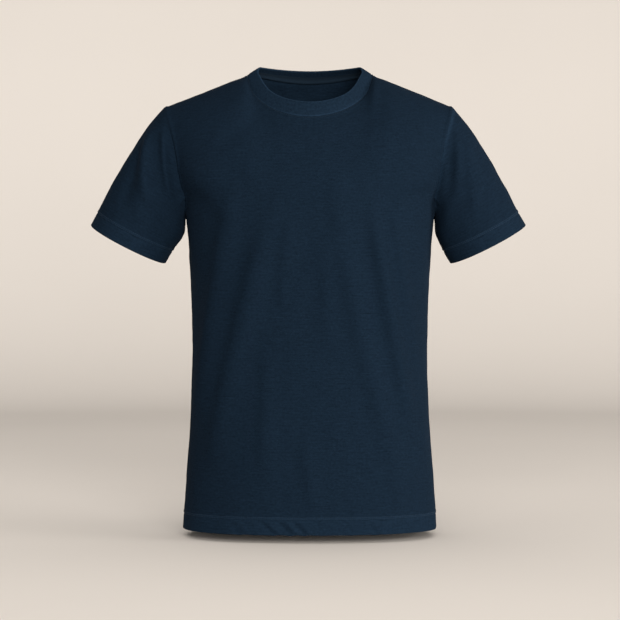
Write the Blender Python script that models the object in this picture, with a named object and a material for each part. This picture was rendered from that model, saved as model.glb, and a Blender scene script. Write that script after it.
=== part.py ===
"""Crew neck t-shirt, filled out as it is worn, with no wearer inside.

Metres, +Z up, front towards -Y. The origin is midway between the two high
shoulder points, where the wearer's shoulders carry the shirt. Left and right
are the wearer's: the left sleeve is at +X.

The cloth's outer face is first laid out as one skin, in grids of points, and
neighbouring pieces share the points of their seam. Each sewn piece is then
taken off the skin, held half a seam gap back on its own side of every seam,
and given its wall towards the wearer's side.
"""

from collections import namedtuple

import bpy
import numpy as np

# Driving sizes
HEM_HEIGHT = -0.683  # straight down from the high shoulder point
ARMPIT_HEIGHT = -0.212
SHOULDER_TIP = np.array([0.2205, 0.0, -0.0492])
ARMHOLE_REACH = {"front": 0.058, "back": 0.060}  # furthest from the shoulder line, along Y

CLOTH_WALL = 0.0014
HEM_WALL = 0.0026  # cloth turned up once
RIB_WALL = 0.0024  # rib folded in two
TAPE_WALL = 0.0010
SEAM_GAP = 0.0003
EDGE_ROUNDING = 0.3  # how far a free edge swells out, as a share of the wall

HEM_DEPTH = 0.026
HEM_STEP = 0.0015  # length over which the turned-up cloth ends
RIB_CROWN = 0.0006  # how far the rib rounds out halfway up
RIB_RINGS = (0.0, 0.25, 0.5, 0.75, 1.0)  # shares of the rib's width
TAPE_RINGS = 3  # the tape reaches up to this ring of the rib
TAPE_BELOW = 0.0015  # how far the tape reaches below the neck seam
TAPE_DEPTH_ON_RIB = RIB_WALL + 2 * SEAM_GAP  # under the outer face
TAPE_DEPTH_ON_CLOTH = CLOTH_WALL + 2 * SEAM_GAP

# Mesh steps. A panel's outer columns end at the armhole's lower quarters, the rest at the
# shoulder seams and the neck.
ARMHOLE_COLUMNS = 3
SHOULDER_COLUMNS = 8
NECK_COLUMNS = 16
UPPER_COLUMNS = 2 * SHOULDER_COLUMNS + NECK_COLUMNS
UPPER_ROWS = 11
LOWER_ROWS = 20
SPLIT_TURN = np.radians(45)
TRACING_STEPS = 200  # of a curve, before its points are spread evenly
LIFT_STEP = 0.01  # how far below a row the body is read, to tell which way it rises
WELD = 1e-5  # points of two grids that are as near as this are one
NEARLY_LEVEL = 0.05  # planes whose crossing is flatter than this count as one plane
SHARP_ANGLE = np.radians(50)

Section = namedtuple("Section", "height half_width front_depth back_depth squareness")
TORSO = [
    Section(-0.683, 0.1917, 0.1215, 0.1140, 2.35),
    Section(-0.612, 0.1869, 0.1220, 0.1115, 2.35),
    Section(-0.521, 0.1801, 0.1240, 0.1065, 2.35),
    Section(-0.430, 0.1770, 0.1270, 0.1035, 2.35),
    Section(-0.340, 0.1787, 0.1300, 0.1070, 2.35),
    Section(-0.241, 0.1845, 0.1320, 0.1150, 2.38),
    Section(-0.188, 0.1900, 0.1300, 0.1180, 2.42),
]

# The rib's seam and its folded top edge: how far out they lie over the shoulder, and where
# they cross the middle in front and behind, along Y.
NeckEdge = namedtuple("NeckEdge", "out front back")
NECK_EDGES = {
    "seam": NeckEdge(0.0940, -0.0850, 0.0650),
    "top": NeckEdge(0.0787, -0.0765, 0.0555),
}

# Their heights round the neck, by degrees of its turn: -90 is the middle of the front, 0
# is over the shoulder and 90 is the middle of the back.
NeckHeight = namedtuple("NeckHeight", "turn seam top")
NECK_HEIGHTS = [
    NeckHeight(-90, -0.0700, -0.0471),
    NeckHeight(-60, -0.0604, -0.0398),
    NeckHeight(-36, -0.0412, -0.0233),
    NeckHeight(-16, -0.0186, -0.0030),
    NeckHeight(0, 0.0000, 0.0068),
    NeckHeight(10, 0.0026, 0.0130),
    NeckHeight(22, 0.0034, 0.0151),
    NeckHeight(50, 0.0010, 0.0147),
    NeckHeight(90, -0.0040, 0.0134),
]

# How far out the armhole lies at a height, between the chest row and the shoulder tip.
ArmholePoint = namedtuple("ArmholePoint", "height out")
ARMHOLE = [
    ArmholePoint(-0.165, 0.1925),
    ArmholePoint(-0.133, 0.1985),
    ArmholePoint(-0.100, 0.2055),
    ArmholePoint(-0.070, 0.2145),
]

# Rings of a sleeve after its armhole, as seen from the front. A ring's front leans down
# along the sleeve, and its back up, by the lean.
Ring = namedtuple("Ring", "along top_out top_height low_out low_height reach lean")
SLEEVE = [
    Ring(0.180, 0.2455, -0.0775, 0.1890, -0.2240, 0.0620, 0.000),
    Ring(0.415, 0.2720, -0.1180, 0.1906, -0.2390, 0.0625, 0.001),
    Ring(0.690, 0.3000, -0.1665, 0.1992, -0.2536, 0.0620, 0.003),
    Ring(0.880, 0.3202, -0.2043, 0.2068, -0.2637, 0.0615, 0.005),
    Ring(1.000, 0.3320, -0.2263, 0.2195, -0.2852, 0.0610, 0.006),
]
SLEEVE_ROWS = (0, 0.05, 0.11, 0.18, 0.27, 0.37, 0.48, 0.59, 0.70, 0.80, 0.880, 0.887, 1)
SLEEVE_HEM_FROM = 0.880

# How the cloth rises from the chest row: strength of its start and its end, and the
# direction it arrives in, as Y and Z, over the shoulder and at the middle of the neck.
RISE_START, RISE_END = 0.95, 0.62
ARRIVAL_AT_SHOULDER = {"front": (0.99, 0.10), "back": (-0.99, 0.10)}
ARRIVAL_AT_NECK = {"front": (0.56, 0.83), "back": (-0.50, 0.87)}
RELAXING = ((0.5, -0.52),) * 12  # passes, each of which smooths and then fills out again
SIDE_INFLUENCE = 0.42  # share of the panel's width over which the armhole shapes it

# The left shoulder and sleeve have settled closer in than the right. At each height they do
# so from some way out, and in full once a distance further out.
LEFT_SETTLES_IN = 0.0062
Settling = namedtuple("Settling", "height start over")
SETTLING = [
    Settling(-0.240, 0.186, 0.026),
    Settling(-0.200, 0.188, 0.030),
    Settling(-0.130, 0.150, 0.090),
    Settling(-0.060, 0.150, 0.110),
]

# Soft folds as seen from the front: where each starts above and ends below, how far its
# middle bows towards +X, its widths towards -X and +X, and its height, which is below zero
# for a trough.
Fold = namedtuple("Fold", "start_x start_z end_x end_z bow right_width left_width height")
FOLDS = {
    "front_panel": [
        Fold(-0.107, -0.160, -0.169, -0.560, -0.004, 0.016, 0.020, 0.0086),
        Fold(-0.054, -0.200, -0.149, -0.610, -0.005, 0.016, 0.022, 0.0086),
        Fold(-0.190, -0.125, -0.100, -0.235, 0.000, 0.016, 0.026, 0.0046),
        Fold(0.086, -0.180, 0.153, -0.560, -0.003, 0.014, 0.016, 0.0066),
        Fold(0.040, -0.200, 0.143, -0.620, -0.012, 0.018, 0.018, 0.0046),
        Fold(0.030, -0.130, 0.046, -0.260, 0.000, 0.016, 0.022, 0.0022),
    ],
    "back_panel": [
        Fold(-0.096, -0.180, -0.160, -0.580, -0.004, 0.018, 0.018, 0.0064),
        Fold(-0.056, -0.205, -0.110, -0.560, 0.003, 0.017, 0.015, 0.0044),
        Fold(-0.130, -0.205, -0.166, -0.460, 0.002, 0.013, 0.013, -0.0030),
        Fold(0.090, -0.190, 0.154, -0.580, 0.005, 0.017, 0.020, 0.0064),
        Fold(0.050, -0.205, 0.104, -0.540, 0.002, 0.015, 0.017, 0.0042),
        Fold(0.124, -0.215, 0.164, -0.470, 0.002, 0.013, 0.013, -0.0030),
        Fold(0.004, -0.230, -0.006, -0.580, 0.006, 0.020, 0.020, -0.0032),
    ],
    "sleeve_left": [
        Fold(0.240, -0.080, 0.251, -0.225, 0.000, 0.009, 0.012, 0.0030),
        Fold(0.212, -0.105, 0.206, -0.200, 0.004, 0.009, 0.010, -0.0028),
    ],
    "sleeve_right": [
        Fold(-0.236, -0.080, -0.238, -0.205, -0.009, 0.011, 0.009, 0.0060),
        Fold(-0.218, -0.080, -0.207, -0.195, -0.004, 0.007, 0.007, 0.0042),
        Fold(-0.243, -0.080, -0.280, -0.215, -0.002, 0.010, 0.010, -0.0034),
    ],
}
FOLD_ENDS = 0.28  # share of a fold's length over which each end fades
FOLD_MARGIN = 3  # mesh steps over which folds fade towards a seam

Finish = namedtuple("Finish", "colour roughness")  # the colour in linear light
JERSEY = Finish((0.0122, 0.0205, 0.0343), 0.90)
RIB_KNIT = Finish((0.0139, 0.0229, 0.0377), 0.90)
TAPE_WEAVE = Finish((0.0175, 0.0277, 0.0437), 0.85)


def spline(knots, values, at):
    """Cubic spline through values, which may hold points, read at the given places.

    Its first and last stretches are parabolas, so it keeps its bend up to the ends.
    """
    knots, values, at = np.asarray(knots, float), np.asarray(values, float), np.asarray(at, float)
    order = np.argsort(knots)
    knots, values = knots[order], values[order]
    last = len(knots) - 1
    step = np.diff(knots)
    slope = np.diff(values, axis=0) / step.reshape(-1, *[1] * (values.ndim - 1))
    system, right = np.eye(last + 1), np.zeros_like(values)
    system[0, 1] = system[last, last - 1] = -1
    for i in range(1, last):
        system[i, i - 1 : i + 2] = step[i - 1], 2 * (step[i - 1] + step[i]), step[i]
        right[i] = 6 * (slope[i] - slope[i - 1])
    bend = np.linalg.solve(system, right.reshape(last + 1, -1)).reshape(values.shape)
    i = np.clip(np.searchsorted(knots, at) - 1, 0, last - 1)
    shape = (*at.shape, *[1] * (values.ndim - 1))
    h = step[i].reshape(shape)
    b = ((at - knots[i]) / step[i]).reshape(shape)
    a = 1 - b
    curve = (a**3 - a) * bend[i] + (b**3 - b) * bend[i + 1]
    return a * values[i] + b * values[i + 1] + curve * h * h / 6


def unit(vectors):
    vectors = np.asarray(vectors, float)
    return vectors / np.maximum(np.linalg.norm(vectors, axis=-1, keepdims=True), 1e-12)


def smooth(share):
    """0 up to 0, 1 from 1 on, and an even ease between."""
    share = np.clip(share, 0, 1)
    return share * share * (3 - 2 * share)


def mirrored(points):
    """The same seam or row on the other side, still read from +X to -X."""
    return points[::-1] * (-1, 1, 1)


def across(half):
    """A whole row or seam from its +X half, which ends on the middle plane."""
    return np.concatenate([half, mirrored(half)[1:]])


def even_spacing(row, count):
    """The row's points spread evenly over its length, as count steps."""
    length = np.concatenate([[0], np.cumsum(np.linalg.norm(np.diff(row, axis=0), axis=1))])
    places = np.linspace(0, length[-1], count + 1)
    return np.stack([np.interp(places, length, row[:, axis]) for axis in range(3)], axis=1)


def torso_sizes(height, face):
    """Half width, depth and squareness of the body on one face, at a height."""
    heights = [s.height for s in TORSO]
    columns = ("half_width", face + "_depth", "squareness")
    return [spline(heights, [getattr(s, name) for s in TORSO], height) for name in columns]


def torso_out(y, height, face):
    """How far out the body lies at a distance from the shoulder line."""
    half, depth, power = torso_sizes(height, face)
    return half * (1 - (np.abs(y) / depth) ** power) ** (1 / power)


def torso_point(angle, height, face):
    """A point of the body. Angle 0 is the side seam at +X, a quarter turn the middle."""
    half, depth, power = torso_sizes(height, face)
    c, s = np.cos(angle), np.sin(angle)
    reach = ((np.abs(c) / half) ** power + (np.abs(s) / depth) ** power) ** (-1 / power)
    sign = -1 if face == "front" else 1
    return np.stack([reach * c, sign * reach * s, height + 0 * reach], axis=-1)


def armhole_turns():
    """Places of the mesh along half the armhole, from the armpit, as angles of its turn."""
    low = np.linspace(0, SPLIT_TURN, ARMHOLE_COLUMNS + 1)
    return np.concatenate([low, np.linspace(SPLIT_TURN, np.pi, UPPER_ROWS + 1)[1:]])


def armhole_seam(face):
    """The armhole at +X, from the armpit to the shoulder tip."""
    turn = armhole_turns()
    middle = (ARMPIT_HEIGHT + SHOULDER_TIP[2]) / 2
    height = middle - (SHOULDER_TIP[2] - ARMPIT_HEIGHT) / 2 * np.cos(turn)
    y = ARMHOLE_REACH[face] * np.sin(turn)
    chest = height[ARMHOLE_COLUMNS]
    chest_out = torso_out(y[ARMHOLE_COLUMNS], chest, face)
    heights = [chest, *[p.height for p in ARMHOLE], SHOULDER_TIP[2]]
    outs = [chest_out, *[p.out for p in ARMHOLE], SHOULDER_TIP[0]]
    on_body = torso_out(y, np.minimum(height, chest), face)
    out = np.where(turn <= SPLIT_TURN, on_body, spline(heights, outs, height))
    seam = np.stack([out, -y if face == "front" else y, height], axis=1)
    seam[0] = out[0], 0, ARMPIT_HEIGHT
    seam[-1] = SHOULDER_TIP
    return seam


def neck_height(turn, edge):
    """Height of an edge of the rib. It runs level across the middles of front and back."""
    turns = [place.turn for place in NECK_HEIGHTS]
    heights = [getattr(place, edge) for place in NECK_HEIGHTS]
    beyond = [-180 - turns[1], -180 - turns[2], 180 - turns[-2], 180 - turns[-3]]
    heights_beyond = [heights[1], heights[2], heights[-2], heights[-3]]
    return spline(turns + beyond, heights + heights_beyond, np.degrees(turn))


def neck_curve(face, edge):
    """Half of an edge of the rib, from over the shoulder at +X to the middle of a face."""
    turn = np.linspace(0, np.pi / 2, NECK_COLUMNS // 2 + 1)
    height = neck_height(-turn if face == "front" else turn, edge)
    sizes = NECK_EDGES[edge]
    curve = [sizes.out * np.cos(turn), getattr(sizes, face) * np.sin(turn), height]
    curve = np.stack(curve, axis=1)
    curve[-1, 0] = 0
    return curve


def rib_loop():
    """Rings of the neck rib from the neck seam to its top edge, round by the back from +X."""
    loops = []
    for edge in ("seam", "top"):
        back, front = across(neck_curve("back", edge)), across(neck_curve("front", edge))
        loops.append(np.concatenate([back, front[::-1][1:]]))
    low, high = loops
    outward = grid_normals(np.array([low, high]), closed=True)[0]
    shares = np.array(RIB_RINGS)[:, None, None]
    return low + (high - low) * shares + outward * RIB_CROWN * 4 * shares * (1 - shares)


def shoulder_seam():
    """From the shoulder tip to the high shoulder point on the neck seam, at +X."""
    share = np.linspace(0, 1, SHOULDER_COLUMNS + 1)[:, None]
    return SHOULDER_TIP * (1 - share) + neck_curve("front", "seam")[0] * share


def rise(chest_row, lift, top, arrival):
    """Rows from the chest to the top, each column a curve that starts and ends as given."""
    size = np.linalg.norm(top - chest_row, axis=1, keepdims=True)
    rows = []
    for t in np.linspace(0, 1, UPPER_ROWS + 1):
        start = (2 * t**3 - 3 * t**2 + 1) * chest_row
        leaving = (t**3 - 2 * t**2 + t) * RISE_START * size * lift
        end = (3 * t**2 - 2 * t**3) * top
        arriving = (t**3 - t**2) * RISE_END * size * arrival
        rows.append(start + leaving + end + arriving)
    return np.array(rows)


def relaxed(grid):
    """The grid with its inner points evened out, and its edges where they were."""
    grid = grid.copy()
    for share in np.ravel(RELAXING):
        around = grid[:-2, 1:-1] + grid[2:, 1:-1] + grid[1:-1, :-2] + grid[1:-1, 2:]
        grid[1:-1, 1:-1] += share * (around / 4 - grid[1:-1, 1:-1])
    return grid


def upper_panel(face):
    """The panel above the chest row, its sides on the armholes."""
    seam = armhole_seam(face)[ARMHOLE_COLUMNS:]
    chest = seam[0, 2]
    first = np.arctan2(abs(seam[0, 1]), seam[0, 0])
    angles = np.linspace(first, np.pi / 2, TRACING_STEPS)
    traced = torso_point(angles, np.full(TRACING_STEPS, chest), face)
    half = even_spacing(traced, UPPER_COLUMNS // 2)
    half[0], half[-1, 0] = seam[0], 0
    row = across(half)
    angles = np.arctan2(np.abs(row[:, 1]), row[:, 0])
    below = torso_point(angles, np.full(len(row), chest - LIFT_STEP), face)
    top = across(np.concatenate([shoulder_seam(), neck_curve(face, "seam")[1:]]))
    middle = np.clip(top[:, 1] / getattr(NECK_EDGES["seam"], face), 0, 1)[:, None]
    at_shoulder = np.array([0, *ARRIVAL_AT_SHOULDER[face]])
    at_neck = np.array([0, *ARRIVAL_AT_NECK[face]])
    rows = rise(row, unit(row - below), top, unit(at_shoulder * (1 - middle) + at_neck * middle))
    share = np.linspace(0, 1, UPPER_COLUMNS + 1)
    influence = (1 - smooth(share / SIDE_INFLUENCE))[None, :, None]
    miss = (seam - rows[:, 0])[:, None]
    return relaxed(rows + miss * influence + (miss * influence)[:, ::-1] * (-1, 1, 1))


def lower_panel(face, chest_row):
    """The panel from the hem to the chest row, and beside it to the armpits."""
    corner = armhole_seam(face)[: ARMHOLE_COLUMNS + 1]
    top = np.concatenate([corner, chest_row[1:-1], mirrored(corner)])
    angles = np.arctan2(np.abs(top[:, 1]), top[:, 0])
    hem = [0, HEM_DEPTH - HEM_STEP, HEM_DEPTH]
    share_of_hem = HEM_DEPTH / (top[:, 2].mean() - HEM_HEIGHT)
    shares = np.linspace(share_of_hem, 1, LOWER_ROWS + 1)[1:]
    heights = [np.full(len(top), HEM_HEIGHT + depth) for depth in hem]
    heights += [HEM_HEIGHT + (top[:, 2] - HEM_HEIGHT) * share for share in shares]
    rows = np.array([torso_point(angles, height, face) for height in heights])
    rows[:, 0, 1] = rows[:, -1, 1] = 0
    rows[-1] = top
    return rows


def sleeve(side):
    """Rings from the armhole to the cuff. Columns go round by the front from the armpit."""
    front, back = armhole_seam("front"), armhole_seam("back")
    loop = np.concatenate([front, back[::-1][1:]])
    turn = armhole_turns()
    turn = np.concatenate([turn, 2 * np.pi - turn[::-1][1:]])[:, None]
    rings = [loop]
    for ring in SLEEVE:
        top = np.array([ring.top_out, 0, ring.top_height])
        low = np.array([ring.low_out, 0, ring.low_height])
        down = unit(np.cross(top - low, (0, -1, 0)))
        forward = np.sin(turn)
        points = (top + low) / 2 - (top - low) / 2 * np.cos(turn) + down * ring.lean * forward
        rings.append(points - np.array([0, ring.reach, 0]) * forward)
    grid = spline([0, *[ring.along for ring in SLEEVE]], np.array(rings), np.array(SLEEVE_ROWS))
    grid[:, -1] = grid[:, 0]
    return grid * (1 if side == "left" else -1, 1, 1)


def settled(grid):
    """Moves the cloth of the left shoulder and sleeve to where it hangs."""
    x, z = grid[..., 0], grid[..., 2]
    heights, starts, overs = zip(*SETTLING)
    share = smooth((x - np.interp(z, heights, starts)) / np.interp(z, heights, overs))
    return grid - share[..., None] * (LEFT_SETTLES_IN, 0, 0)


def grid_normals(grid, closed=False):
    """Unit normals of a grid. A closed grid's last column is its first."""
    up = np.gradient(grid, axis=0)
    if closed:
        along = np.roll(grid[:, :-1], -1, axis=1) - np.roll(grid[:, :-1], 1, axis=1)
        along = np.concatenate([along, along[:, :1]], axis=1)
    else:
        along = np.gradient(grid, axis=1)
    return unit(np.cross(along, up))


def fold_heights(x, z, folds):
    """How far the folds lift points of the cloth, by where the points show from the front."""
    lift = np.zeros_like(x)
    for fold in folds:
        start, end = np.array([fold.start_x, fold.start_z]), np.array([fold.end_x, fold.end_z])
        length = np.linalg.norm(end - start)
        line = (end - start) / length
        share = ((x - start[0]) * line[0] + (z - start[1]) * line[1]) / length
        aside = -(x - start[0]) * line[1] + (z - start[1]) * line[0]
        aside = aside - fold.bow * 4 * share * (1 - share)
        ends = smooth(share / FOLD_ENDS) * smooth((1 - share) / FOLD_ENDS)
        width = np.where(aside < 0, fold.right_width, fold.left_width)
        lift = lift + fold.height * ends * np.exp(-((aside / width) ** 2))
    return lift


class Skin:
    """The cloth's outer face: points shared along seams, and each piece's four-sided faces."""

    def __init__(self):
        self.points, self.at, self.faces, self.wall = [], {}, {}, {}

    def lay(self, piece, grid, wall, outward):
        """Adds a grid to a piece. wall is one thickness, or one for each row."""
        grid = settled(grid)
        wall = np.broadcast_to(wall, grid.shape[0])
        number = np.zeros(grid.shape[:2], int)
        for (row, column), _ in np.ndenumerate(number):
            key = tuple(np.round(grid[row, column] / WELD).astype(int))
            if key not in self.at:
                self.at[key] = len(self.points)
                self.points.append(grid[row, column])
            number[row, column] = self.at[key]
            self.wall[piece, number[row, column]] = wall[row]
        near, far = number[:-1], number[1:]
        corners = np.stack([near[:, :-1], near[:, 1:], far[:, 1:], far[:, :-1]], axis=-1)
        corners = corners.reshape(-1, 4)
        self.faces.setdefault(piece, []).extend(corners if outward else corners[:, ::-1])

    def around(self, piece):
        """Each of the piece's points: its normal, and the way to its faces from there."""
        faces = np.array(self.faces[piece])
        points = np.array(self.points)
        a, b, c, d = points[faces.T]
        facing, centre = np.cross(c - a, d - b), points[faces].mean(axis=1)
        normal, inward = np.zeros_like(points), np.zeros_like(points)
        for corner in faces.T:
            np.add.at(normal, corner, facing)
            np.add.at(inward, corner, unit(centre - points[corner]))
        used = np.unique(faces)
        return {i: (unit(normal[i]), unit(inward[i])) for i in used}

    def border(self, piece):
        """The piece's edges that only one of its faces has, each as that face turns."""
        edges = {}
        for face in self.faces[piece]:
            for a, b in zip(face, np.roll(face, -1)):
                edges[a, b] = True
        return [edge for edge in edges if edge[::-1] not in edges]


def hold_clear(offset, planes):
    """Moves an offset just far enough to lie half a seam gap off every plane."""
    short = np.maximum(0, SEAM_GAP / 2 - planes @ offset)
    return offset + np.linalg.pinv(planes, rcond=NEARLY_LEVEL) @ short


def take_piece(skin, piece, neighbourhoods, material):
    """Makes one sewn piece: its outer face, its inner face and the rim between."""
    around = neighbourhoods[piece]
    border = skin.border(piece)
    on_border = {i for edge in border for i in edge}
    number = {i: k for k, i in enumerate(around)}
    rest = [other for name, other in neighbourhoods.items() if name != piece]
    free = [edge for edge in border if not any(set(edge) <= set(other) for other in rest)]
    outer, inner, middle = [], [], {}
    for i, (normal, inward) in around.items():
        others = [other[i][1] for other in rest if i in other]
        wall = skin.wall[piece, i]
        offsets = [np.zeros(3), -normal * wall, -(normal / 2 + inward * EDGE_ROUNDING) * wall]
        if i in on_border and others:
            offsets = [hold_clear(offset, unit(inward - np.array(others))) for offset in offsets]
        outer.append(skin.points[i] + offsets[0])
        inner.append(skin.points[i] + offsets[1])
        middle[i] = skin.points[i] + offsets[2]
    count = len(outer)
    on_free = sorted({i for edge in free for i in edge})
    rounded = {i: 2 * count + k for k, i in enumerate(on_free)}
    points = outer + inner + [middle[i] for i in rounded]
    faces = [[number[i] for i in face] for face in skin.faces[piece]]
    faces += [[number[i] + count for i in face[::-1]] for face in skin.faces[piece]]
    for a, b in border:
        low, high = number[b], number[a]
        middles = [[rounded[i]] if i in rounded else [] for i in (a, b)]
        if all(middles):
            faces.append([low, high, *middles[0], *middles[1]])
            faces.append([*middles[1], *middles[0], high + count, low + count])
        else:
            faces.append([low, high, *middles[0], high + count, low + count, *middles[1]])
    mesh = bpy.data.meshes.new(piece)
    mesh.from_pydata([tuple(p) for p in points], [], faces)
    mesh.validate()
    mesh.shade_smooth()
    mesh.set_sharp_from_angle(angle=SHARP_ANGLE)
    mesh.materials.append(material)
    thing = bpy.data.objects.new(piece, mesh)
    bpy.context.scene.collection.objects.link(thing)
    return thing


def cloth(name, finish):
    material = bpy.data.materials.new(name)
    material.use_nodes = True
    shader = material.node_tree.nodes["Principled BSDF"]
    shader.inputs["Base Color"].default_value = (*finish.colour, 1)
    shader.inputs["Roughness"].default_value = finish.roughness
    shader.inputs["Metallic"].default_value = 0
    return material


def fold_panel(piece, lower, upper):
    """Lifts a panel's folds, fading them out towards its seams."""
    side = np.minimum(np.arange(lower.shape[1]), np.arange(lower.shape[1])[::-1])
    fade = smooth(side / FOLD_MARGIN)[None, :, None]
    lift = fold_heights(lower[..., 0], lower[..., 2], FOLDS[piece])[..., None]
    sign = 1 if piece == "front_panel" else -1
    lower = lower + sign * grid_normals(lower) * lift * fade
    side = np.minimum(np.arange(upper.shape[1]), np.arange(upper.shape[1])[::-1])
    below_top = np.arange(upper.shape[0])[::-1, None]
    fade = smooth(np.minimum(side[None, :], below_top) / FOLD_MARGIN)[..., None]
    lift = fold_heights(upper[..., 0], upper[..., 2], FOLDS[piece])[..., None]
    upper = upper + sign * grid_normals(upper) * lift * fade
    upper[0] = lower[-1, ARMHOLE_COLUMNS : ARMHOLE_COLUMNS + UPPER_COLUMNS + 1]
    return lower, upper


def lay_panel(skin, face):
    piece = face + "_panel"
    upper = upper_panel(face)
    lower = lower_panel(face, upper[0])
    lower, upper = fold_panel(piece, lower, upper)
    walls = np.full(lower.shape[0], CLOTH_WALL)
    walls[:2] = HEM_WALL
    front = face == "front"
    skin.lay(piece, lower, walls, not front)
    skin.lay(piece, upper, CLOTH_WALL, not front)
    return upper


def lay_sleeve(skin, side):
    piece = "sleeve_" + side
    grid = sleeve(side)
    steps = np.arange(grid.shape[0])[:, None]
    turn = np.linspace(0, 2 * np.pi, grid.shape[1])[None, :]
    fade = smooth(steps / FOLD_MARGIN) * smooth(2 * np.sin(turn))
    lift = (fold_heights(grid[..., 0], grid[..., 2], FOLDS[piece]) * fade)[..., None]
    grid = grid + np.array([0, -1, 0]) * lift
    walls = np.where(np.array(SLEEVE_ROWS) > SLEEVE_HEM_FROM, HEM_WALL, CLOTH_WALL)
    skin.lay(piece, grid, walls, side == "right")


def lay_rib(skin):
    skin.lay("neckband", rib_loop(), RIB_WALL, True)


def lay_tape(skin, back_panel):
    """The tape lies over the back neck seam, on the inner side of the rib and the panel."""
    rib = rib_loop()
    across_back = slice(0, NECK_COLUMNS + 1)
    inward = -grid_normals(rib, closed=True)[:TAPE_RINGS, across_back]
    on_rib = rib[:TAPE_RINGS, across_back] + inward * TAPE_DEPTH_ON_RIB
    neck = slice(SHOULDER_COLUMNS, SHOULDER_COLUMNS + NECK_COLUMNS + 1)
    seam, below = back_panel[-1, neck], back_panel[-2, neck]
    on_panel = seam + unit(below - seam) * TAPE_BELOW + inward[0] * TAPE_DEPTH_ON_CLOTH
    skin.lay("neck_tape", np.array([on_panel, *on_rib]), TAPE_WALL, True)


def main():
    for thing in list(bpy.data.objects):
        bpy.data.objects.remove(thing)
    skin = Skin()
    lay_panel(skin, "front")
    back_panel = lay_panel(skin, "back")
    lay_sleeve(skin, "left")
    lay_sleeve(skin, "right")
    lay_rib(skin)
    lay_tape(skin, back_panel)
    neighbourhoods = {piece: skin.around(piece) for piece in skin.faces}
    jersey = cloth("jersey", JERSEY)
    trims = {"neckband": cloth("rib", RIB_KNIT), "neck_tape": cloth("tape", TAPE_WEAVE)}
    for piece in skin.faces:
        take_piece(skin, piece, neighbourhoods, trims.get(piece, jersey))


main()
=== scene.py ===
"""Crew neck t-shirt: its cloth, rib, tape, seams and stitches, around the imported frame.

Metres, +Z up, the shirt's front towards -Y, its left sleeve at +X. The outer face of the
cloth is laid out as one fine skin, in grids whose seam points are shared. Folds, seams and
hems lift or sink that skin, and each sewn piece then takes its own stretch of it, with a
thin wall on the wearer's side.
"""

import functools
from collections import namedtuple

import bpy
import numpy as np
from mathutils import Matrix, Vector
from mathutils.kdtree import KDTree


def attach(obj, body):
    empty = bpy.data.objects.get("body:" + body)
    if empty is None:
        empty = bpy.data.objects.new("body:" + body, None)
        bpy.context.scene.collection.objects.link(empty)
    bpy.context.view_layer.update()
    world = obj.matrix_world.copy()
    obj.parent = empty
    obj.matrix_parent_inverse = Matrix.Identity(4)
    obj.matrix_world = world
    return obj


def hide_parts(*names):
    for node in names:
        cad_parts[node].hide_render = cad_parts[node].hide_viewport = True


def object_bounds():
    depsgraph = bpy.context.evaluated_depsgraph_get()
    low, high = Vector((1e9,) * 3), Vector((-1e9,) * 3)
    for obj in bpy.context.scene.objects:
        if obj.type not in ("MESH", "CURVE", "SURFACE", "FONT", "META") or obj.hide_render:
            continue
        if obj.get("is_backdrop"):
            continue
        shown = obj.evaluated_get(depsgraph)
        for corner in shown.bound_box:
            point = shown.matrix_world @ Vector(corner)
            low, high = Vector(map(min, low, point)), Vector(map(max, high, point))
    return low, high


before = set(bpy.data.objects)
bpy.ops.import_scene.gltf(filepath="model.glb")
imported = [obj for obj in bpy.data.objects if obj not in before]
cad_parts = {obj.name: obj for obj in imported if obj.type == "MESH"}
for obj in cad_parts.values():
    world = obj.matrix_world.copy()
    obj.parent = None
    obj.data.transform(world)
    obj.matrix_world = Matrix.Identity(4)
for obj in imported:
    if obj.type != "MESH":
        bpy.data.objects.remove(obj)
CAD_BOX = [list(corner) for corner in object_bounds()]

bl_info = {
    "name": "Crew neck t-shirt",
    "version": (1, 0, 0),
    "blender": (4, 5, 0),
    "location": "View3D > Sidebar > T-shirt",
    "description": "Dresses the packed t-shirt in knit cloth, with its rib, tape, seams and stitches",
    "category": "Object",
}

# Driving sizes of the cut, as in the construction
HEM_HEIGHT = -0.683
ARMPIT_HEIGHT = -0.212
SHOULDER_TIP = np.array([0.2205, 0.0, -0.0492])
ARMHOLE_REACH = {"front": 0.058, "back": 0.060}
HEM_DEPTH = 0.026
SLEEVE_HEM_DEPTH = 0.0255
HEM_STEP = 0.0015  # length over which the turned-up cloth ends
RIB_CROWN = 0.0006
RIB_FOLDED = 0.0024  # two layers of rib
SEAM_GAP = 0.0003

# Steps of the coarse grids, and how many fine ones each is divided into. The fine ones are
# even, so that the inner face can take every second line.
ARMHOLE_COLUMNS = 3
SHOULDER_COLUMNS = 8
NECK_COLUMNS = 16
UPPER_COLUMNS = 2 * SHOULDER_COLUMNS + NECK_COLUMNS
UPPER_ROWS = 11
LOWER_ROWS = 20
SPLIT_TURN = np.radians(45)
TRACING_STEPS = 200
LIFT_STEP = 0.01
HEM_DIVISIONS = (22, 12)
LOWER_DIVISIONS = (*HEM_DIVISIONS, *[8] * (LOWER_ROWS - 2), 16)
UPPER_DIVISIONS = (*[6] * (UPPER_ROWS - 2), 10, 14)
SIDE_DIVISIONS = (10, 6, 10)
MIDDLE_DIVISIONS = (10, *[6] * (UPPER_COLUMNS - 2), 10)
SHOULDER_LINES = sum(MIDDLE_DIVISIONS[:SHOULDER_COLUMNS])
NECK_LINES = slice(SHOULDER_LINES, sum(MIDDLE_DIVISIONS) - SHOULDER_LINES + 1)
SLEEVE_DIVISIONS = (12, 8, 6, 6, 6, 6, 6, 6, 6, 6, 16)

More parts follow.
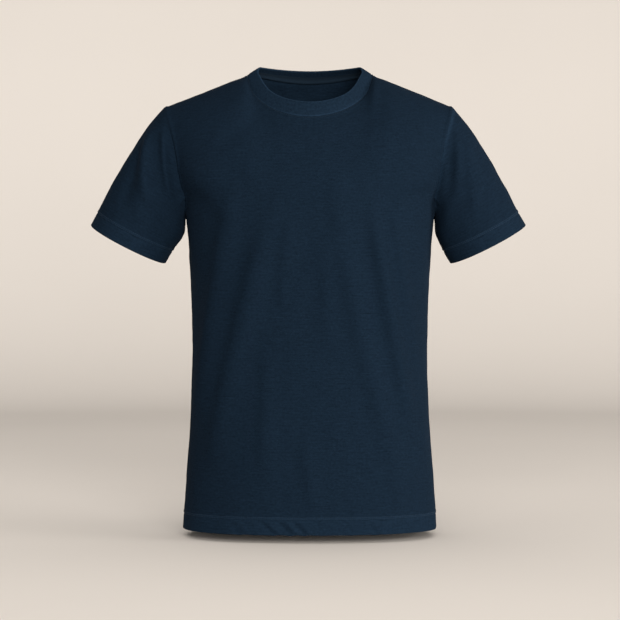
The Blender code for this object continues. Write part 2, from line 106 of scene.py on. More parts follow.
Section = namedtuple("Section", "height half_width front_depth back_depth squareness")
TORSO = [
    Section(-0.683, 0.1917, 0.1215, 0.1140, 2.35),
    Section(-0.612, 0.1869, 0.1220, 0.1115, 2.35),
    Section(-0.521, 0.1801, 0.1240, 0.1065, 2.35),
    Section(-0.430, 0.1770, 0.1270, 0.1035, 2.35),
    Section(-0.340, 0.1787, 0.1300, 0.1070, 2.35),
    Section(-0.241, 0.1845, 0.1320, 0.1150, 2.38),
    Section(-0.188, 0.1900, 0.1300, 0.1180, 2.42),
]

# The rib's seam and its folded top edge: how far out they lie over the shoulder, and where
# they cross the middle in front and behind, along Y
NeckEdge = namedtuple("NeckEdge", "out front back")
NECK_EDGES = {
    "seam": NeckEdge(0.0940, -0.0850, 0.0650),
    "top": NeckEdge(0.0787, -0.0765, 0.0555),
}

# Their heights round the neck, by degrees of its turn: -90 is the middle of the front, 0
# is over the shoulder and 90 is the middle of the back
NeckHeight = namedtuple("NeckHeight", "turn seam top")
NECK_HEIGHTS = [
    NeckHeight(-90, -0.0700, -0.0471),
    NeckHeight(-60, -0.0604, -0.0398),
    NeckHeight(-36, -0.0412, -0.0233),
    NeckHeight(-16, -0.0186, -0.0030),
    NeckHeight(0, 0.0000, 0.0068),
    NeckHeight(10, 0.0026, 0.0130),
    NeckHeight(22, 0.0034, 0.0151),
    NeckHeight(50, 0.0010, 0.0147),
    NeckHeight(90, -0.0040, 0.0134),
]

# How far out the armhole lies at a height, between the chest row and the shoulder tip
ArmholePoint = namedtuple("ArmholePoint", "height out")
ARMHOLE = [
    ArmholePoint(-0.165, 0.1925),
    ArmholePoint(-0.133, 0.1985),
    ArmholePoint(-0.100, 0.2055),
    ArmholePoint(-0.070, 0.2145),
]

# Rings of a sleeve after its armhole, as seen from the front
Ring = namedtuple("Ring", "along top_out top_height low_out low_height reach lean")
SLEEVE = [
    Ring(0.180, 0.2455, -0.0775, 0.1890, -0.2240, 0.0620, 0.000),
    Ring(0.415, 0.2720, -0.1180, 0.1906, -0.2390, 0.0625, 0.001),
    Ring(0.690, 0.3000, -0.1665, 0.1992, -0.2536, 0.0620, 0.003),
    Ring(0.880, 0.3202, -0.2043, 0.2068, -0.2637, 0.0615, 0.005),
    Ring(1.000, 0.3320, -0.2263, 0.2195, -0.2852, 0.0610, 0.006),
]
SLEEVE_ROWS = (0, 0.05, 0.11, 0.18, 0.27, 0.37, 0.48, 0.59, 0.70, 0.80, 0.880, 0.9935)

RISE_START, RISE_END = 0.95, 0.62
ARRIVAL_AT_SHOULDER = {"front": (0.99, 0.10), "back": (-0.99, 0.10)}
ARRIVAL_AT_NECK = {"front": (0.56, 0.83), "back": (-0.50, 0.87)}
RELAXING = ((0.5, -0.52),) * 12
SIDE_INFLUENCE = 0.42

# The left shoulder and sleeve have settled closer in than the right. At each height they do
# so from some way out, and in full once a distance further out
LEFT_SETTLES_IN = 0.0062
Settling = namedtuple("Settling", "height start over")
SETTLING = [
    Settling(-0.240, 0.186, 0.026),
    Settling(-0.200, 0.188, 0.030),
    Settling(-0.130, 0.150, 0.090),
    Settling(-0.060, 0.150, 0.110),
]

# Soft folds as seen from the front: where each starts above and ends below, how far its
# middle bows towards +X, its widths towards -X and +X, and its height, which is below zero
# for a trough
Fold = namedtuple("Fold", "start_x start_z end_x end_z bow right_width left_width height")
FOLDS = {
    "front_panel": [
        Fold(-0.107, -0.160, -0.169, -0.560, -0.004, 0.0150, 0.020, 0.0092),
        Fold(-0.054, -0.200, -0.149, -0.610, -0.005, 0.0150, 0.022, 0.0092),
        Fold(-0.031, -0.205, -0.041, -0.370, 0.000, 0.010, 0.014, 0.0022),
        Fold(-0.062, -0.400, -0.070, -0.610, 0.000, 0.010, 0.016, 0.0026),
        Fold(0.030, -0.130, 0.046, -0.260, 0.000, 0.014, 0.020, 0.0024),
        Fold(0.019, -0.240, 0.028, -0.430, 0.000, 0.012, 0.018, 0.0020),
        Fold(0.040, -0.200, 0.143, -0.620, -0.012, 0.016, 0.018, 0.0050),
        Fold(0.086, -0.180, 0.153, -0.560, -0.003, 0.011, 0.014, 0.0084),
        Fold(0.118, -0.190, 0.150, -0.390, 0.000, 0.008, 0.010, 0.0040),
        Fold(0.112, -0.545, 0.137, -0.665, 0.000, 0.010, 0.016, 0.0024),
        Fold(-0.010, -0.530, 0.006, -0.665, 0.000, 0.009, 0.014, 0.0020),
        Fold(-0.190, -0.125, -0.100, -0.235, 0.000, 0.016, 0.026, 0.0050),
        Fold(0.190, -0.170, 0.136, -0.194, 0.000, 0.006, 0.006, -0.0010),
        Fold(-0.070, -0.040, -0.136, -0.120, 0.006, 0.016, 0.016, -0.0022),
        Fold(0.106, -0.006, 0.096, -0.096, 0.000, 0.016, 0.014, -0.0026),
    ],
    "back_panel": [
        Fold(-0.096, -0.180, -0.160, -0.580, -0.004, 0.018, 0.018, 0.0066),
        Fold(-0.056, -0.205, -0.110, -0.560, 0.003, 0.017, 0.014, 0.0046),
        Fold(-0.130, -0.205, -0.166, -0.460, 0.002, 0.012, 0.012, -0.0030),
        Fold(0.090, -0.190, 0.154, -0.580, 0.005, 0.016, 0.020, 0.0066),
        Fold(0.050, -0.205, 0.104, -0.540, 0.002, 0.014, 0.017, 0.0044),
        Fold(0.124, -0.215, 0.164, -0.470, 0.002, 0.012, 0.012, -0.0030),
        Fold(0.004, -0.230, -0.006, -0.580, 0.006, 0.020, 0.020, -0.0034),
        Fold(-0.030, -0.060, -0.036, -0.230, 0.004, 0.018, 0.018, -0.0026),
        Fold(0.034, -0.050, 0.044, -0.220, 0.003, 0.018, 0.018, -0.0026),
        Fold(-0.080, -0.020, -0.150, -0.110, -0.006, 0.016, 0.016, -0.0024),
        Fold(0.086, -0.022, 0.150, -0.120, 0.005, 0.016, 0.016, -0.0024),
        Fold(0.060, -0.430, 0.070, -0.650, 0.000, 0.016, 0.012, 0.0026),
        Fold(-0.072, -0.460, -0.064, -0.655, 0.000, 0.012, 0.015, 0.0024),
        Fold(-0.060, -0.004, -0.020, -0.060, 0.000, 0.008, 0.010, 0.0024),
        Fold(-0.030, -0.006, 0.020, -0.060, 0.000, 0.008, 0.010, 0.0020),
    ],
    "sleeve_left": [
        Fold(0.212, -0.105, 0.206, -0.200, 0.004, 0.008, 0.010, -0.0030),
        Fold(0.223, -0.080, 0.222, -0.175, 0.002, 0.006, 0.008, 0.0022),
        Fold(0.240, -0.080, 0.251, -0.225, 0.000, 0.008, 0.012, 0.0030),
        Fold(0.262, -0.120, 0.280, -0.225, 0.003, 0.012, 0.016, 0.0014),
    ],
    "sleeve_right": [
        Fold(-0.236, -0.075, -0.238, -0.210, -0.009, 0.0095, 0.008, 0.0080),
        Fold(-0.218, -0.075, -0.207, -0.200, -0.004, 0.0050, 0.007, 0.0064),
        Fold(-0.244, -0.075, -0.280, -0.215, -0.002, 0.009, 0.009, -0.0044),
        Fold(-0.254, -0.150, -0.254, -0.235, 0.000, 0.009, 0.010, 0.0024),
    ],
    "sleeve_left_back": [
        Fold(0.214, -0.095, 0.208, -0.205, 0.003, 0.010, 0.010, -0.0034),
        Fold(0.240, -0.095, 0.262, -0.220, 0.004, 0.012, 0.012, -0.0030),
        Fold(0.226, -0.100, 0.232, -0.215, 0.003, 0.009, 0.009, 0.0026),
    ],
    "sleeve_right_back": [
        Fold(-0.216, -0.095, -0.208, -0.200, -0.003, 0.010, 0.010, -0.0034),
        Fold(-0.244, -0.090, -0.270, -0.220, -0.004, 0.012, 0.012, -0.0032),
        Fold(-0.229, -0.100, -0.238, -0.215, -0.003, 0.009, 0.009, 0.0030),
    ],
}
FOLD_ENDS = 0.28
FOLD_FADE = 0.014  # distance from a seam over which the folds fade
SLEEVE_FACE_FADE = 0.02  # and from the line between a sleeve's front and its back

# Slanting puckers that the hem's stitches pull into its band: the face they are on, the X of
# their middle, how far their foot lies towards +X of their head, half their width, and their
# height, which is below zero for a trough
Pucker = namedtuple("Pucker", "face at lean half_width height")
HEM_PUCKERS = [
    Pucker("front", -0.1120, 0.0160, 0.0036, -0.0006),
    Pucker("front", -0.0980, 0.0160, 0.0036, 0.0007),
    Pucker("front", -0.0640, 0.0220, 0.0046, -0.0011),
    Pucker("front", -0.0540, 0.0220, 0.0046, 0.0010),
    Pucker("front", -0.0380, 0.0200, 0.0040, -0.0012),
    Pucker("front", -0.0275, 0.0200, 0.0038, 0.0010),
    Pucker("front", -0.0170, 0.0190, 0.0038, -0.0011),
    Pucker("front", -0.0070, 0.0180, 0.0040, 0.0008),
    Pucker("front", 0.0130, 0.0140, 0.0038, -0.0006),
    Pucker("front", 0.0560, 0.0120, 0.0038, -0.0006),
    Pucker("front", 0.0900, 0.0120, 0.0032, -0.0008),
    Pucker("front", 0.0980, 0.0120, 0.0032, 0.0006),
    Pucker("front", 0.1060, 0.0110, 0.0032, -0.0007),
    Pucker("back", -0.0720, -0.0190, 0.0044, -0.0011),
    Pucker("back", -0.0590, -0.0190, 0.0042, 0.0009),
    Pucker("back", 0.0340, -0.0180, 0.0042, -0.0011),
    Pucker("back", 0.0450, -0.0180, 0.0040, 0.0008),
    Pucker("back", 0.1120, -0.0120, 0.0036, -0.0007),
]

# What a seam does to the cloth beside it: its groove, the swelling along it, which may be
# lower on a sleeve than on a panel, and the small puckers that die out away from it
Seam = namedtuple("Seam", "depth groove puff sleeve_puff puff_at pucker pucker_length pucker_reach")
SEAMS = {
    "armhole": Seam(0.0000, 0.0010, 0.0012, -0.00010, 0.0036, 0.00035, 0.016, 0.010),
    "side": Seam(0.0006, 0.0013, 0.0002, 0.0002, 0.0040, 0.00020, 0.024, 0.008),
    "underarm": Seam(0.0006, 0.0013, 0.0002, 0.0002, 0.0040, 0.00020, 0.018, 0.008),
    "shoulder": Seam(0.0007, 0.0014, 0.0003, 0.0003, 0.0040, 0.00015, 0.020, 0.008),
    "neck": Seam(0.0002, 0.0012, 0.0005, 0.0005, 0.0035, 0.00018, 0.014, 0.010),
}
SEAM_REACH = 0.040
PUFF_SPREAD = 0.6  # width of the swelling, as a share of how far it is from the seam
RIPPLE_COUNT, RIPPLE_START = 5, 0.002  # waves of the puckers, and where they set in

# A painted highlight on the left sleeve along its armhole seam, on the side the light comes from: how far
# from the seam it lies, and its width
PAINTED_HIGHLIGHT_AT, PAINTED_HIGHLIGHT_WIDTH = 0.0022, 0.0032

# A hem's two rows of stitches and the soft welt between them, measured down from its top
HEM_ROWS_BELOW_TOP = (0.0010, 0.0034)
HEM_WELT, HEM_WELT_WIDTH, HEM_WELT_BELOW_TOP = 0.00065, 0.0016, 0.0022
HEM_GROOVE, HEM_GROOVE_WIDTH, HEM_GROOVE_BELOW_TOP = 0.00065, 0.0012, 0.0052

# Gentle unevenness of the whole cloth: its height, its wave length and the seed of its waves
Unevenness = namedtuple("Unevenness", "height length seed")
UNEVENNESS = [Unevenness(0.00045, 0.060, 3), Unevenness(0.00016, 0.022, 5)]
WAVE_COUNT = 24
UNEVEN_AT_SEAM = 0.25  # share of it that is left at a seam

EDGE_POINTS = 4  # of a turned-up edge, between its outer and its inner face
SHARP_ANGLE = np.radians(50)
ROUNDING = 1e-7  # points nearer than this are one

# Neck rib
RIBS = 352
COLUMNS_PER_RIB = 6
RIB_OUTER_SHARES = np.array([-0.05, 0, 0.05, 0.12, 0.22, 0.36, 0.52, 0.68, 0.82, 0.91, 0.97, 1.0])
RIB_TURN_POINTS = 5
RIB_INNER_SHARES = np.array([1.0, 0.95, 0.84, 0.68, 0.50, 0.32, 0.15, 0.03, -0.05])
RIB_TUCK = 0.0006  # how far the sewn edge turns in, behind the panels
RIB_TUCK_SHARE = 0.07  # of the rib's width, over which it does
RIB_RISE_SHARE = 0.10  # of the rib's width, over which the ribs rise from the seam
RING_TRACING = 4001  # points that the way round the neck is measured with
RIB_TURN_LENGTH = 0.001  # of cloth hidden in the seam

# Neck tape
TAPE_BELOW = 0.0012  # how far it reaches below the neck seam
TAPE_RIB_SHARES = (0.06, 0.20, 0.35, 0.50)  # of the rib's width, that it lies over
TAPE_DIVISIONS = (4, 2, 2, 2)
TAPE_WALL = 0.0008

# Stitches
STITCH_SHARE = 0.86  # of the stitch length, that the thread shows
THREAD_SUNK = 0.4  # of the thread's radius, that lies in the cloth
STITCH_WOBBLE = 0.04
NECK_STITCHES_BELOW = 0.0024

# Camera and stage
CAMERA_PLACE = (0.0, -3.0, -0.355)
CAMERA_LENS, CAMERA_SENSOR = 115.06, 36.0
FLOOR_HEIGHT = HEM_HEIGHT - 0.012

# Square lights that face the lit place. A bearing of 0 is the front and 90 the shirt's left
LIT_PLACE = (0, 0, -0.35)
Light = namedtuple("Light", "bearing rise distance size falls_on")
LIGHTS = {
    "key": Light(10, 8, 8.0, 3.5, "all"),
    "fill": Light(71, 8, 8.0, 3.5, "all"),
    "back": Light(180, 9, 5.0, 1.2, "shirt"),
    "overhead": Light(0, 90, 4.5, 9.0, "stage"),
    "wall": Light(0, 6, 8.0, 5.3, "stage"),
}


class ClothSizes(bpy.types.PropertyGroup):
    """Sizes of the cloth and its sewing."""

    wall: bpy.props.FloatProperty(
        name="Cloth thickness", description="Thickness of the jersey", default=0.0009, unit="LENGTH"
    )
    hem_wall: bpy.props.FloatProperty(
        name="Hem thickness", description="Thickness of the turned-up hems", default=0.0019,
        unit="LENGTH",
    )
    folds: bpy.props.FloatProperty(
        name="Folds", description="Strength of the soft folds", default=1.0, min=0, max=2
    )
    rib_height: bpy.props.FloatProperty(
        name="Rib height", description="How far a rib of the neckband stands up", default=0.00030,
        unit="LENGTH",
    )
    stitch_pitch: bpy.props.FloatProperty(
        name="Stitch length", description="From one stitch to the next", default=0.0030, unit="LENGTH"
    )
    thread_radius: bpy.props.FloatProperty(
        name="Thread radius", description="Half the thickness of the thread", default=0.00026, unit="LENGTH"
    )


class ClothColours(bpy.types.PropertyGroup):
    """Colours of the cloth and thread, in linear light."""

    jersey: bpy.props.FloatVectorProperty(
        name="Jersey", description="Colour of the body and sleeves", default=(0.0108, 0.0234, 0.0415),
        subtype="COLOR", min=0, max=1,
    )
    rib: bpy.props.FloatVectorProperty(
        name="Rib", description="Colour of the neckband", default=(0.0144, 0.0312, 0.0552),
        subtype="COLOR", min=0, max=1,
    )
    tape: bpy.props.FloatVectorProperty(
        name="Tape", description="Colour of the neck tape", default=(0.0176, 0.0340, 0.0550),
        subtype="COLOR", min=0, max=1,
    )
    thread: bpy.props.FloatVectorProperty(
        name="Thread", description="Colour of the sewing thread", default=(0.0195, 0.0400, 0.0675),
        subtype="COLOR", min=0, max=1,
    )


class StageSettings(bpy.types.PropertyGroup):
    """The floor, the lights and the camera."""

    floor: bpy.props.FloatVectorProperty(
        name="Floor", description="Colour of the floor and sweep", default=(0.78, 0.705, 0.630),
        subtype="COLOR", min=0, max=1,
    )
    key: bpy.props.FloatProperty(
        name="Key light", description="Power of the light from the front", default=386.0, min=0
    )
    fill: bpy.props.FloatProperty(
        name="Fill light", description="Power of the light from the shirt's left", default=271.0, min=0
    )
    back: bpy.props.FloatProperty(
        name="Back light", description="Power of the light from behind", default=190.0, min=0
    )
    overhead: bpy.props.FloatProperty(
        name="Overhead light", description="Power of the light on the floor alone", default=230.0, min=0
    )
    wall: bpy.props.FloatProperty(
        name="Wall light", description="Power of the light on the sweep alone", default=560.0, min=0
    )
    surroundings: bpy.props.FloatProperty(
        name="Surroundings", description="Strength of the even light all round", default=0.138, min=0
    )


# ---- Curves and grids, as in the construction


def spline(knots, values, at):
    """Cubic spline through values, which may hold points, read at the given places."""
    knots, values, at = np.asarray(knots, float), np.asarray(values, float), np.asarray(at, float)
    order = np.argsort(knots)
    knots, values = knots[order], values[order]
    last = len(knots) - 1
    step = np.diff(knots)
    slope = np.diff(values, axis=0) / step.reshape(-1, *[1] * (values.ndim - 1))
    system, right = np.eye(last + 1), np.zeros_like(values)
    system[0, 1] = system[last, last - 1] = -1
    for i in range(1, last):
        system[i, i - 1 : i + 2] = step[i - 1], 2 * (step[i - 1] + step[i]), step[i]
        right[i] = 6 * (slope[i] - slope[i - 1])
    bend = np.linalg.solve(system, right.reshape(last + 1, -1)).reshape(values.shape)
    i = np.clip(np.searchsorted(knots, at) - 1, 0, last - 1)
    shape = (*at.shape, *[1] * (values.ndim - 1))
    h = step[i].reshape(shape)
    b = ((at - knots[i]) / step[i]).reshape(shape)
    a = 1 - b
    curve = (a**3 - a) * bend[i] + (b**3 - b) * bend[i + 1]
    return a * values[i] + b * values[i + 1] + curve * h * h / 6


def unit(vectors):
    vectors = np.asarray(vectors, float)
    return vectors / np.maximum(np.linalg.norm(vectors, axis=-1, keepdims=True), 1e-12)


def smooth(share):
    """0 up to 0, 1 from 1 on, and an even ease between."""
    share = np.clip(share, 0, 1)
    return share * share * (3 - 2 * share)


def bell(distance, width):
    return np.exp(-((distance / width) ** 2))


def mirrored(points):
    """The same seam or row on the other side, still read from +X to -X."""
    return points[::-1] * (-1, 1, 1)


def across(half):
    """A whole row or seam from its +X half, which ends on the middle plane."""
    return np.concatenate([half, mirrored(half)[1:]])


def lengths(line):
    """Distance along a line of points, from its first."""
    return np.concatenate([[0], np.cumsum(np.linalg.norm(np.diff(line, axis=0), axis=-1))])


def even_spacing(row, count):
    """The row's points spread evenly over its length, as count steps."""
    length = lengths(row)
    places = np.linspace(0, length[-1], count + 1)
    return np.stack([np.interp(places, length, row[:, axis]) for axis in range(3)], axis=1)


def torso_sizes(height, face):
    """Half width, depth and squareness of the body on one face, at a height."""
    heights = [s.height for s in TORSO]
    columns = ("half_width", face + "_depth", "squareness")
    return [spline(heights, [getattr(s, name) for s in TORSO], height) for name in columns]


def torso_out(y, height, face):
    """How far out the body lies at a distance from the shoulder line."""
    half, depth, power = torso_sizes(height, face)
    return half * (1 - (np.abs(y) / depth) ** power) ** (1 / power)


def torso_point(angle, height, face):
    """A point of the body. Angle 0 is the side seam at +X, a quarter turn the middle."""
    half, depth, power = torso_sizes(height, face)
    c, s = np.cos(angle), np.sin(angle)
    reach = ((np.abs(c) / half) ** power + (np.abs(s) / depth) ** power) ** (-1 / power)
    sign = -1 if face == "front" else 1
    return np.stack([reach * c, sign * reach * s, height + 0 * reach], axis=-1)


def armhole_turns():
    """Places of the mesh along half the armhole, from the armpit, as angles of its turn."""
    low = np.linspace(0, SPLIT_TURN, ARMHOLE_COLUMNS + 1)
    return np.concatenate([low, np.linspace(SPLIT_TURN, np.pi, UPPER_ROWS + 1)[1:]])


def armhole_seam(face):
    """The armhole at +X, from the armpit to the shoulder tip."""
    turn = armhole_turns()
    middle = (ARMPIT_HEIGHT + SHOULDER_TIP[2]) / 2
    height = middle - (SHOULDER_TIP[2] - ARMPIT_HEIGHT) / 2 * np.cos(turn)
    y = ARMHOLE_REACH[face] * np.sin(turn)
    chest = height[ARMHOLE_COLUMNS]
    chest_out = torso_out(y[ARMHOLE_COLUMNS], chest, face)
    heights = [chest, *[p.height for p in ARMHOLE], SHOULDER_TIP[2]]
    outs = [chest_out, *[p.out for p in ARMHOLE], SHOULDER_TIP[0]]
    on_body = torso_out(y, np.minimum(height, chest), face)
    out = np.where(turn <= SPLIT_TURN, on_body, spline(heights, outs, height))
    seam = np.stack([out, -y if face == "front" else y, height], axis=1)
    seam[0] = out[0], 0, ARMPIT_HEIGHT
    seam[-1] = SHOULDER_TIP
    return seam


def neck_height(turn, edge):
    """Height of an edge of the rib. It runs level across the middles of front and back."""
    turns = [place.turn for place in NECK_HEIGHTS]
    heights = [getattr(place, edge) for place in NECK_HEIGHTS]
    beyond = [-180 - turns[1], -180 - turns[2], 180 - turns[-2], 180 - turns[-3]]
    heights_beyond = [heights[1], heights[2], heights[-2], heights[-3]]
    return spline(turns + beyond, heights + heights_beyond, np.degrees(turn))


def neck_curve(turn, face, edge):
    """Points of an edge of the rib. Turn 0 is over the shoulder at +X, half a turn at -X."""
    lean = np.arcsin(np.clip(np.sin(turn), -1, 1))
    height = neck_height(-lean if face == "front" else lean, edge)
    sizes = NECK_EDGES[edge]
    return np.stack([sizes.out * np.cos(turn), getattr(sizes, face) * np.sin(turn), height], axis=-1)


def top_edge(places, face):
    """The panel's top edge, at places counted in coarse columns from the shoulder tip at +X."""
    turn = np.clip((places - SHOULDER_COLUMNS) / NECK_COLUMNS, 0, 1) * np.pi
    neck = neck_curve(turn, face, "seam")
    share = np.clip(np.minimum(places, UPPER_COLUMNS - places) / SHOULDER_COLUMNS, 0, 1)[:, None]
    shoulder = SHOULDER_TIP * (1 - share) + neck_curve(0.0, face, "seam") * share
    shoulder[:, 0] *= np.where(places < UPPER_COLUMNS / 2, 1, -1)
    return np.where(share < 1, shoulder, neck)


def rise(chest_row, lift, top, arrival):
    """Rows from the chest to the top, each column a curve that starts and ends as given."""
    size = np.linalg.norm(top - chest_row, axis=1, keepdims=True)
    rows = []
    for t in np.linspace(0, 1, UPPER_ROWS + 1):
        start = (2 * t**3 - 3 * t**2 + 1) * chest_row
        leaving = (t**3 - 2 * t**2 + t) * RISE_START * size * lift
        end = (3 * t**2 - 2 * t**3) * top
        arriving = (t**3 - t**2) * RISE_END * size * arrival
        rows.append(start + leaving + end + arriving)
    return np.array(rows)


def relaxed(grid):
    """The grid with its inner points evened out, and its edges where they were."""
    grid = grid.copy()
    for share in np.ravel(RELAXING):
        around = grid[:-2, 1:-1] + grid[2:, 1:-1] + grid[1:-1, :-2] + grid[1:-1, 2:]
        grid[1:-1, 1:-1] += share * (around / 4 - grid[1:-1, 1:-1])
    return grid


def upper_panel(face):
    """The coarse panel above the chest row, its sides on the armholes."""
    seam = armhole_seam(face)[ARMHOLE_COLUMNS:]
    chest = seam[0, 2]
    first = np.arctan2(abs(seam[0, 1]), seam[0, 0])
    angles = np.linspace(first, np.pi / 2, TRACING_STEPS)
    traced = torso_point(angles, np.full(TRACING_STEPS, chest), face)
    half = even_spacing(traced, UPPER_COLUMNS // 2)
    half[0], half[-1, 0] = seam[0], 0
    row = across(half)
    angles = np.arctan2(np.abs(row[:, 1]), row[:, 0])
    below = torso_point(angles, np.full(len(row), chest - LIFT_STEP), face)
    top = top_edge(np.arange(UPPER_COLUMNS + 1.0), face)
    middle = np.clip(top[:, 1] / getattr(NECK_EDGES["seam"], face), 0, 1)[:, None]
    at_shoulder = np.array([0, *ARRIVAL_AT_SHOULDER[face]])
    at_neck = np.array([0, *ARRIVAL_AT_NECK[face]])
    rows = rise(row, unit(row - below), top, unit(at_shoulder * (1 - middle) + at_neck * middle))
    share = np.linspace(0, 1, UPPER_COLUMNS + 1)
    influence = (1 - smooth(share / SIDE_INFLUENCE))[None, :, None]
    miss = (seam - rows[:, 0])[:, None]
    return relaxed(rows + miss * influence + (miss * influence)[:, ::-1] * (-1, 1, 1))


def lower_panel(face, chest_row, hem_wall):
    """The coarse panel from the hem to the chest row, and beside it to the armpits."""
    corner = armhole_seam(face)[: ARMHOLE_COLUMNS + 1]
    top = np.concatenate([corner, chest_row[1:-1], mirrored(corner)])
    angles = np.arctan2(np.abs(top[:, 1]), top[:, 0])
    share_of_hem = HEM_DEPTH / (top[:, 2].mean() - HEM_HEIGHT)
    shares = np.linspace(share_of_hem, 1, LOWER_ROWS + 1)[1:]
    heights = [np.full(len(top), HEM_HEIGHT + up) for up in (hem_wall / 2, HEM_DEPTH)]
    heights += [HEM_HEIGHT + (top[:, 2] - HEM_HEIGHT) * share for share in shares]
    rows = np.array([torso_point(angles, height, face) for height in heights])
    rows[-1] = top
    return rows


# ---- Fine grids


def places(divisions):
    """Where the fine lines lie, counted in coarse steps."""
    steps = [i + np.arange(count) / count for i, count in enumerate(divisions)]
    return np.concatenate([*steps, [len(divisions)]])


def spans(grid):
    """How far each row of a grid lies from its first, on the mean."""
    steps = np.linalg.norm(np.diff(grid, axis=0), axis=2).mean(axis=1)
    return np.concatenate([[0], np.cumsum(steps)])


def refined(grid, divisions, knots):
    """The grid's rows, with smooth rows between them."""
    at = np.interp(places(divisions), np.arange(len(knots)), knots)
    return spline(knots, grid, at)


def refined_across(grid, divisions, knots):
    return refined(grid.swapaxes(0, 1), divisions, knots).swapaxes(0, 1)


def refined_round(grid, divisions):
    """refined_across for a grid whose last column is its first."""
    over = 6
    wrapped = np.concatenate([grid[:, -1 - over : -1], grid, grid[:, 1 : over + 1]], axis=1)
    wrapped = wrapped.swapaxes(0, 1)
    knots = spans(wrapped)
    at = np.interp(places(divisions) + over, np.arange(len(knots)), knots)
    fine = spline(knots, wrapped, at).swapaxes(0, 1)
    fine[:, -1] = fine[:, 0]
    return fine


def panels(hem_wall):
    """Fine lower and upper grids of both panels."""
    coarse = {}
    for face in ("front", "back"):
        upper = upper_panel(face)
        coarse[face] = lower_panel(face, upper[0], hem_wall), upper
    middle = slice(ARMHOLE_COLUMNS, ARMHOLE_COLUMNS + UPPER_COLUMNS + 1)
    whole = {face: np.concatenate([low[:, middle], up[1:]]) for face, (low, up) in coarse.items()}
    row_knots = (spans(whole["front"]) + spans(whole["back"])) / 2
    lower_spans = [spans(low.swapaxes(0, 1)) for low, _ in coarse.values()]
    column_knots = (lower_spans[0] + lower_spans[1]) / 2
    columns = (*SIDE_DIVISIONS, *MIDDLE_DIVISIONS, *SIDE_DIVISIONS[::-1])
    fine = {}
    for face, (low, _) in coarse.items():
        rows = refined(whole[face], (*LOWER_DIVISIONS, *UPPER_DIVISIONS), row_knots)
        low_knots = row_knots[: len(low)]
        sides = [
            refined(low[:, at], LOWER_DIVISIONS, low_knots)
            for at in (slice(0, ARMHOLE_COLUMNS), slice(-ARMHOLE_COLUMNS, None))
        ]
        chest = sum(LOWER_DIVISIONS)
        low_rows = np.concatenate([sides[0], rows[: chest + 1], sides[1]], axis=1)
        lower = refined_across(low_rows, columns, column_knots)
        upper = refined_across(rows[chest:], MIDDLE_DIVISIONS, column_knots[middle])
        side = sum(SIDE_DIVISIONS)
        above = places(UPPER_DIVISIONS)[:, None, None]
        upper += (lower[-1, side : lower.shape[1] - side] - upper[0]) * (1 - smooth(above / 2))
        exact = top_edge(places(MIDDLE_DIVISIONS), face)
        upper += (exact - upper[-1]) * smooth((above - UPPER_ROWS + 2) / 2)
        upper[0] = lower[-1, side : lower.shape[1] - side]
        fine[face] = lower, upper
    return fine


def sleeve(side, fine):
    """Fine rings from the armhole to the cuff, round by the front from the armpit."""
    loop = np.concatenate([armhole_seam("front"), armhole_seam("back")[::-1][1:]])
    turn = armhole_turns()
    turn = np.concatenate([turn, 2 * np.pi - turn[::-1][1:]])[:, None]
    rings = [loop]
    for ring in SLEEVE:
        top = np.array([ring.top_out, 0, ring.top_height])
        low = np.array([ring.low_out, 0, ring.low_height])
        down = unit(np.cross(top - low, (0, -1, 0)))
        forward = np.sin(turn)
        points = (top + low) / 2 - (top - low) / 2 * np.cos(turn) + down * ring.lean * forward
        rings.append(points - np.array([0, ring.reach, 0]) * forward)
    along = np.interp(places(SLEEVE_DIVISIONS), np.arange(len(SLEEVE_ROWS)), SLEEVE_ROWS)
    rows = spline([0, *[ring.along for ring in SLEEVE]], np.array(rings), along)
    half = (*SIDE_DIVISIONS, *UPPER_DIVISIONS)
    grid = refined_round(rows, (*half, *half[::-1])) * (1 if side == "left" else -1, 1, 1)
    seam = np.concatenate([armhole_edge(fine, "front", side), armhole_edge(fine, "back", side)[::-1][1:]])
    grid += (seam - grid[0]) * (1 - smooth(along / SLEEVE[0].along))[:, None, None]
    grid[0] = seam
    grid[:, -1] = grid[:, 0]
    return grid


def armhole_edge(fine, face, side):
    """The edge of a panel along one armhole, from the armpit to the shoulder tip."""
    lower, upper = fine[face]
    if side == "right":
        lower, upper = lower[:, ::-1], upper[:, ::-1]
    return np.concatenate([lower[-1, : sum(SIDE_DIVISIONS)], upper[:, 0]])


def settled(grid):
    """Moves the cloth of the left shoulder and sleeve to where it hangs."""
    x, z = grid[..., 0], grid[..., 2]
    heights, starts, overs = zip(*SETTLING)
    share = smooth((x - np.interp(z, heights, starts)) / np.interp(z, heights, overs))
    return grid - share[..., None] * (LEFT_SETTLES_IN, 0, 0)


def cloth_places(grid, middle):
    """Where each point lies on the flat cloth: along its row from the middle column, and up."""
    along = np.linalg.norm(np.diff(grid, axis=1), axis=2)
    along = np.concatenate([np.zeros((len(grid), 1)), np.cumsum(along, axis=1)], axis=1)
    along -= along[:, middle : middle + 1]
    up = np.linalg.norm(np.diff(grid, axis=0), axis=2)
    up = np.concatenate([np.zeros((1, grid.shape[1])), np.cumsum(up, axis=0)])
    return np.stack([along, up], axis=2)


def face_corners(lines, outward=True):
    """What the four corners of each face of a grid have, turning outward or inward."""
    near, far = lines[:-1], lines[1:]
    corners = np.stack([near[:, :-1], near[:, 1:], far[:, 1:], far[:, :-1]], axis=2)
    corners = corners.reshape(-1, 4, *lines.shape[2:])
    return corners if outward else corners[:, ::-1]


# ---- The skin


Stretch = namedtuple("Stretch", "grid flat outward")


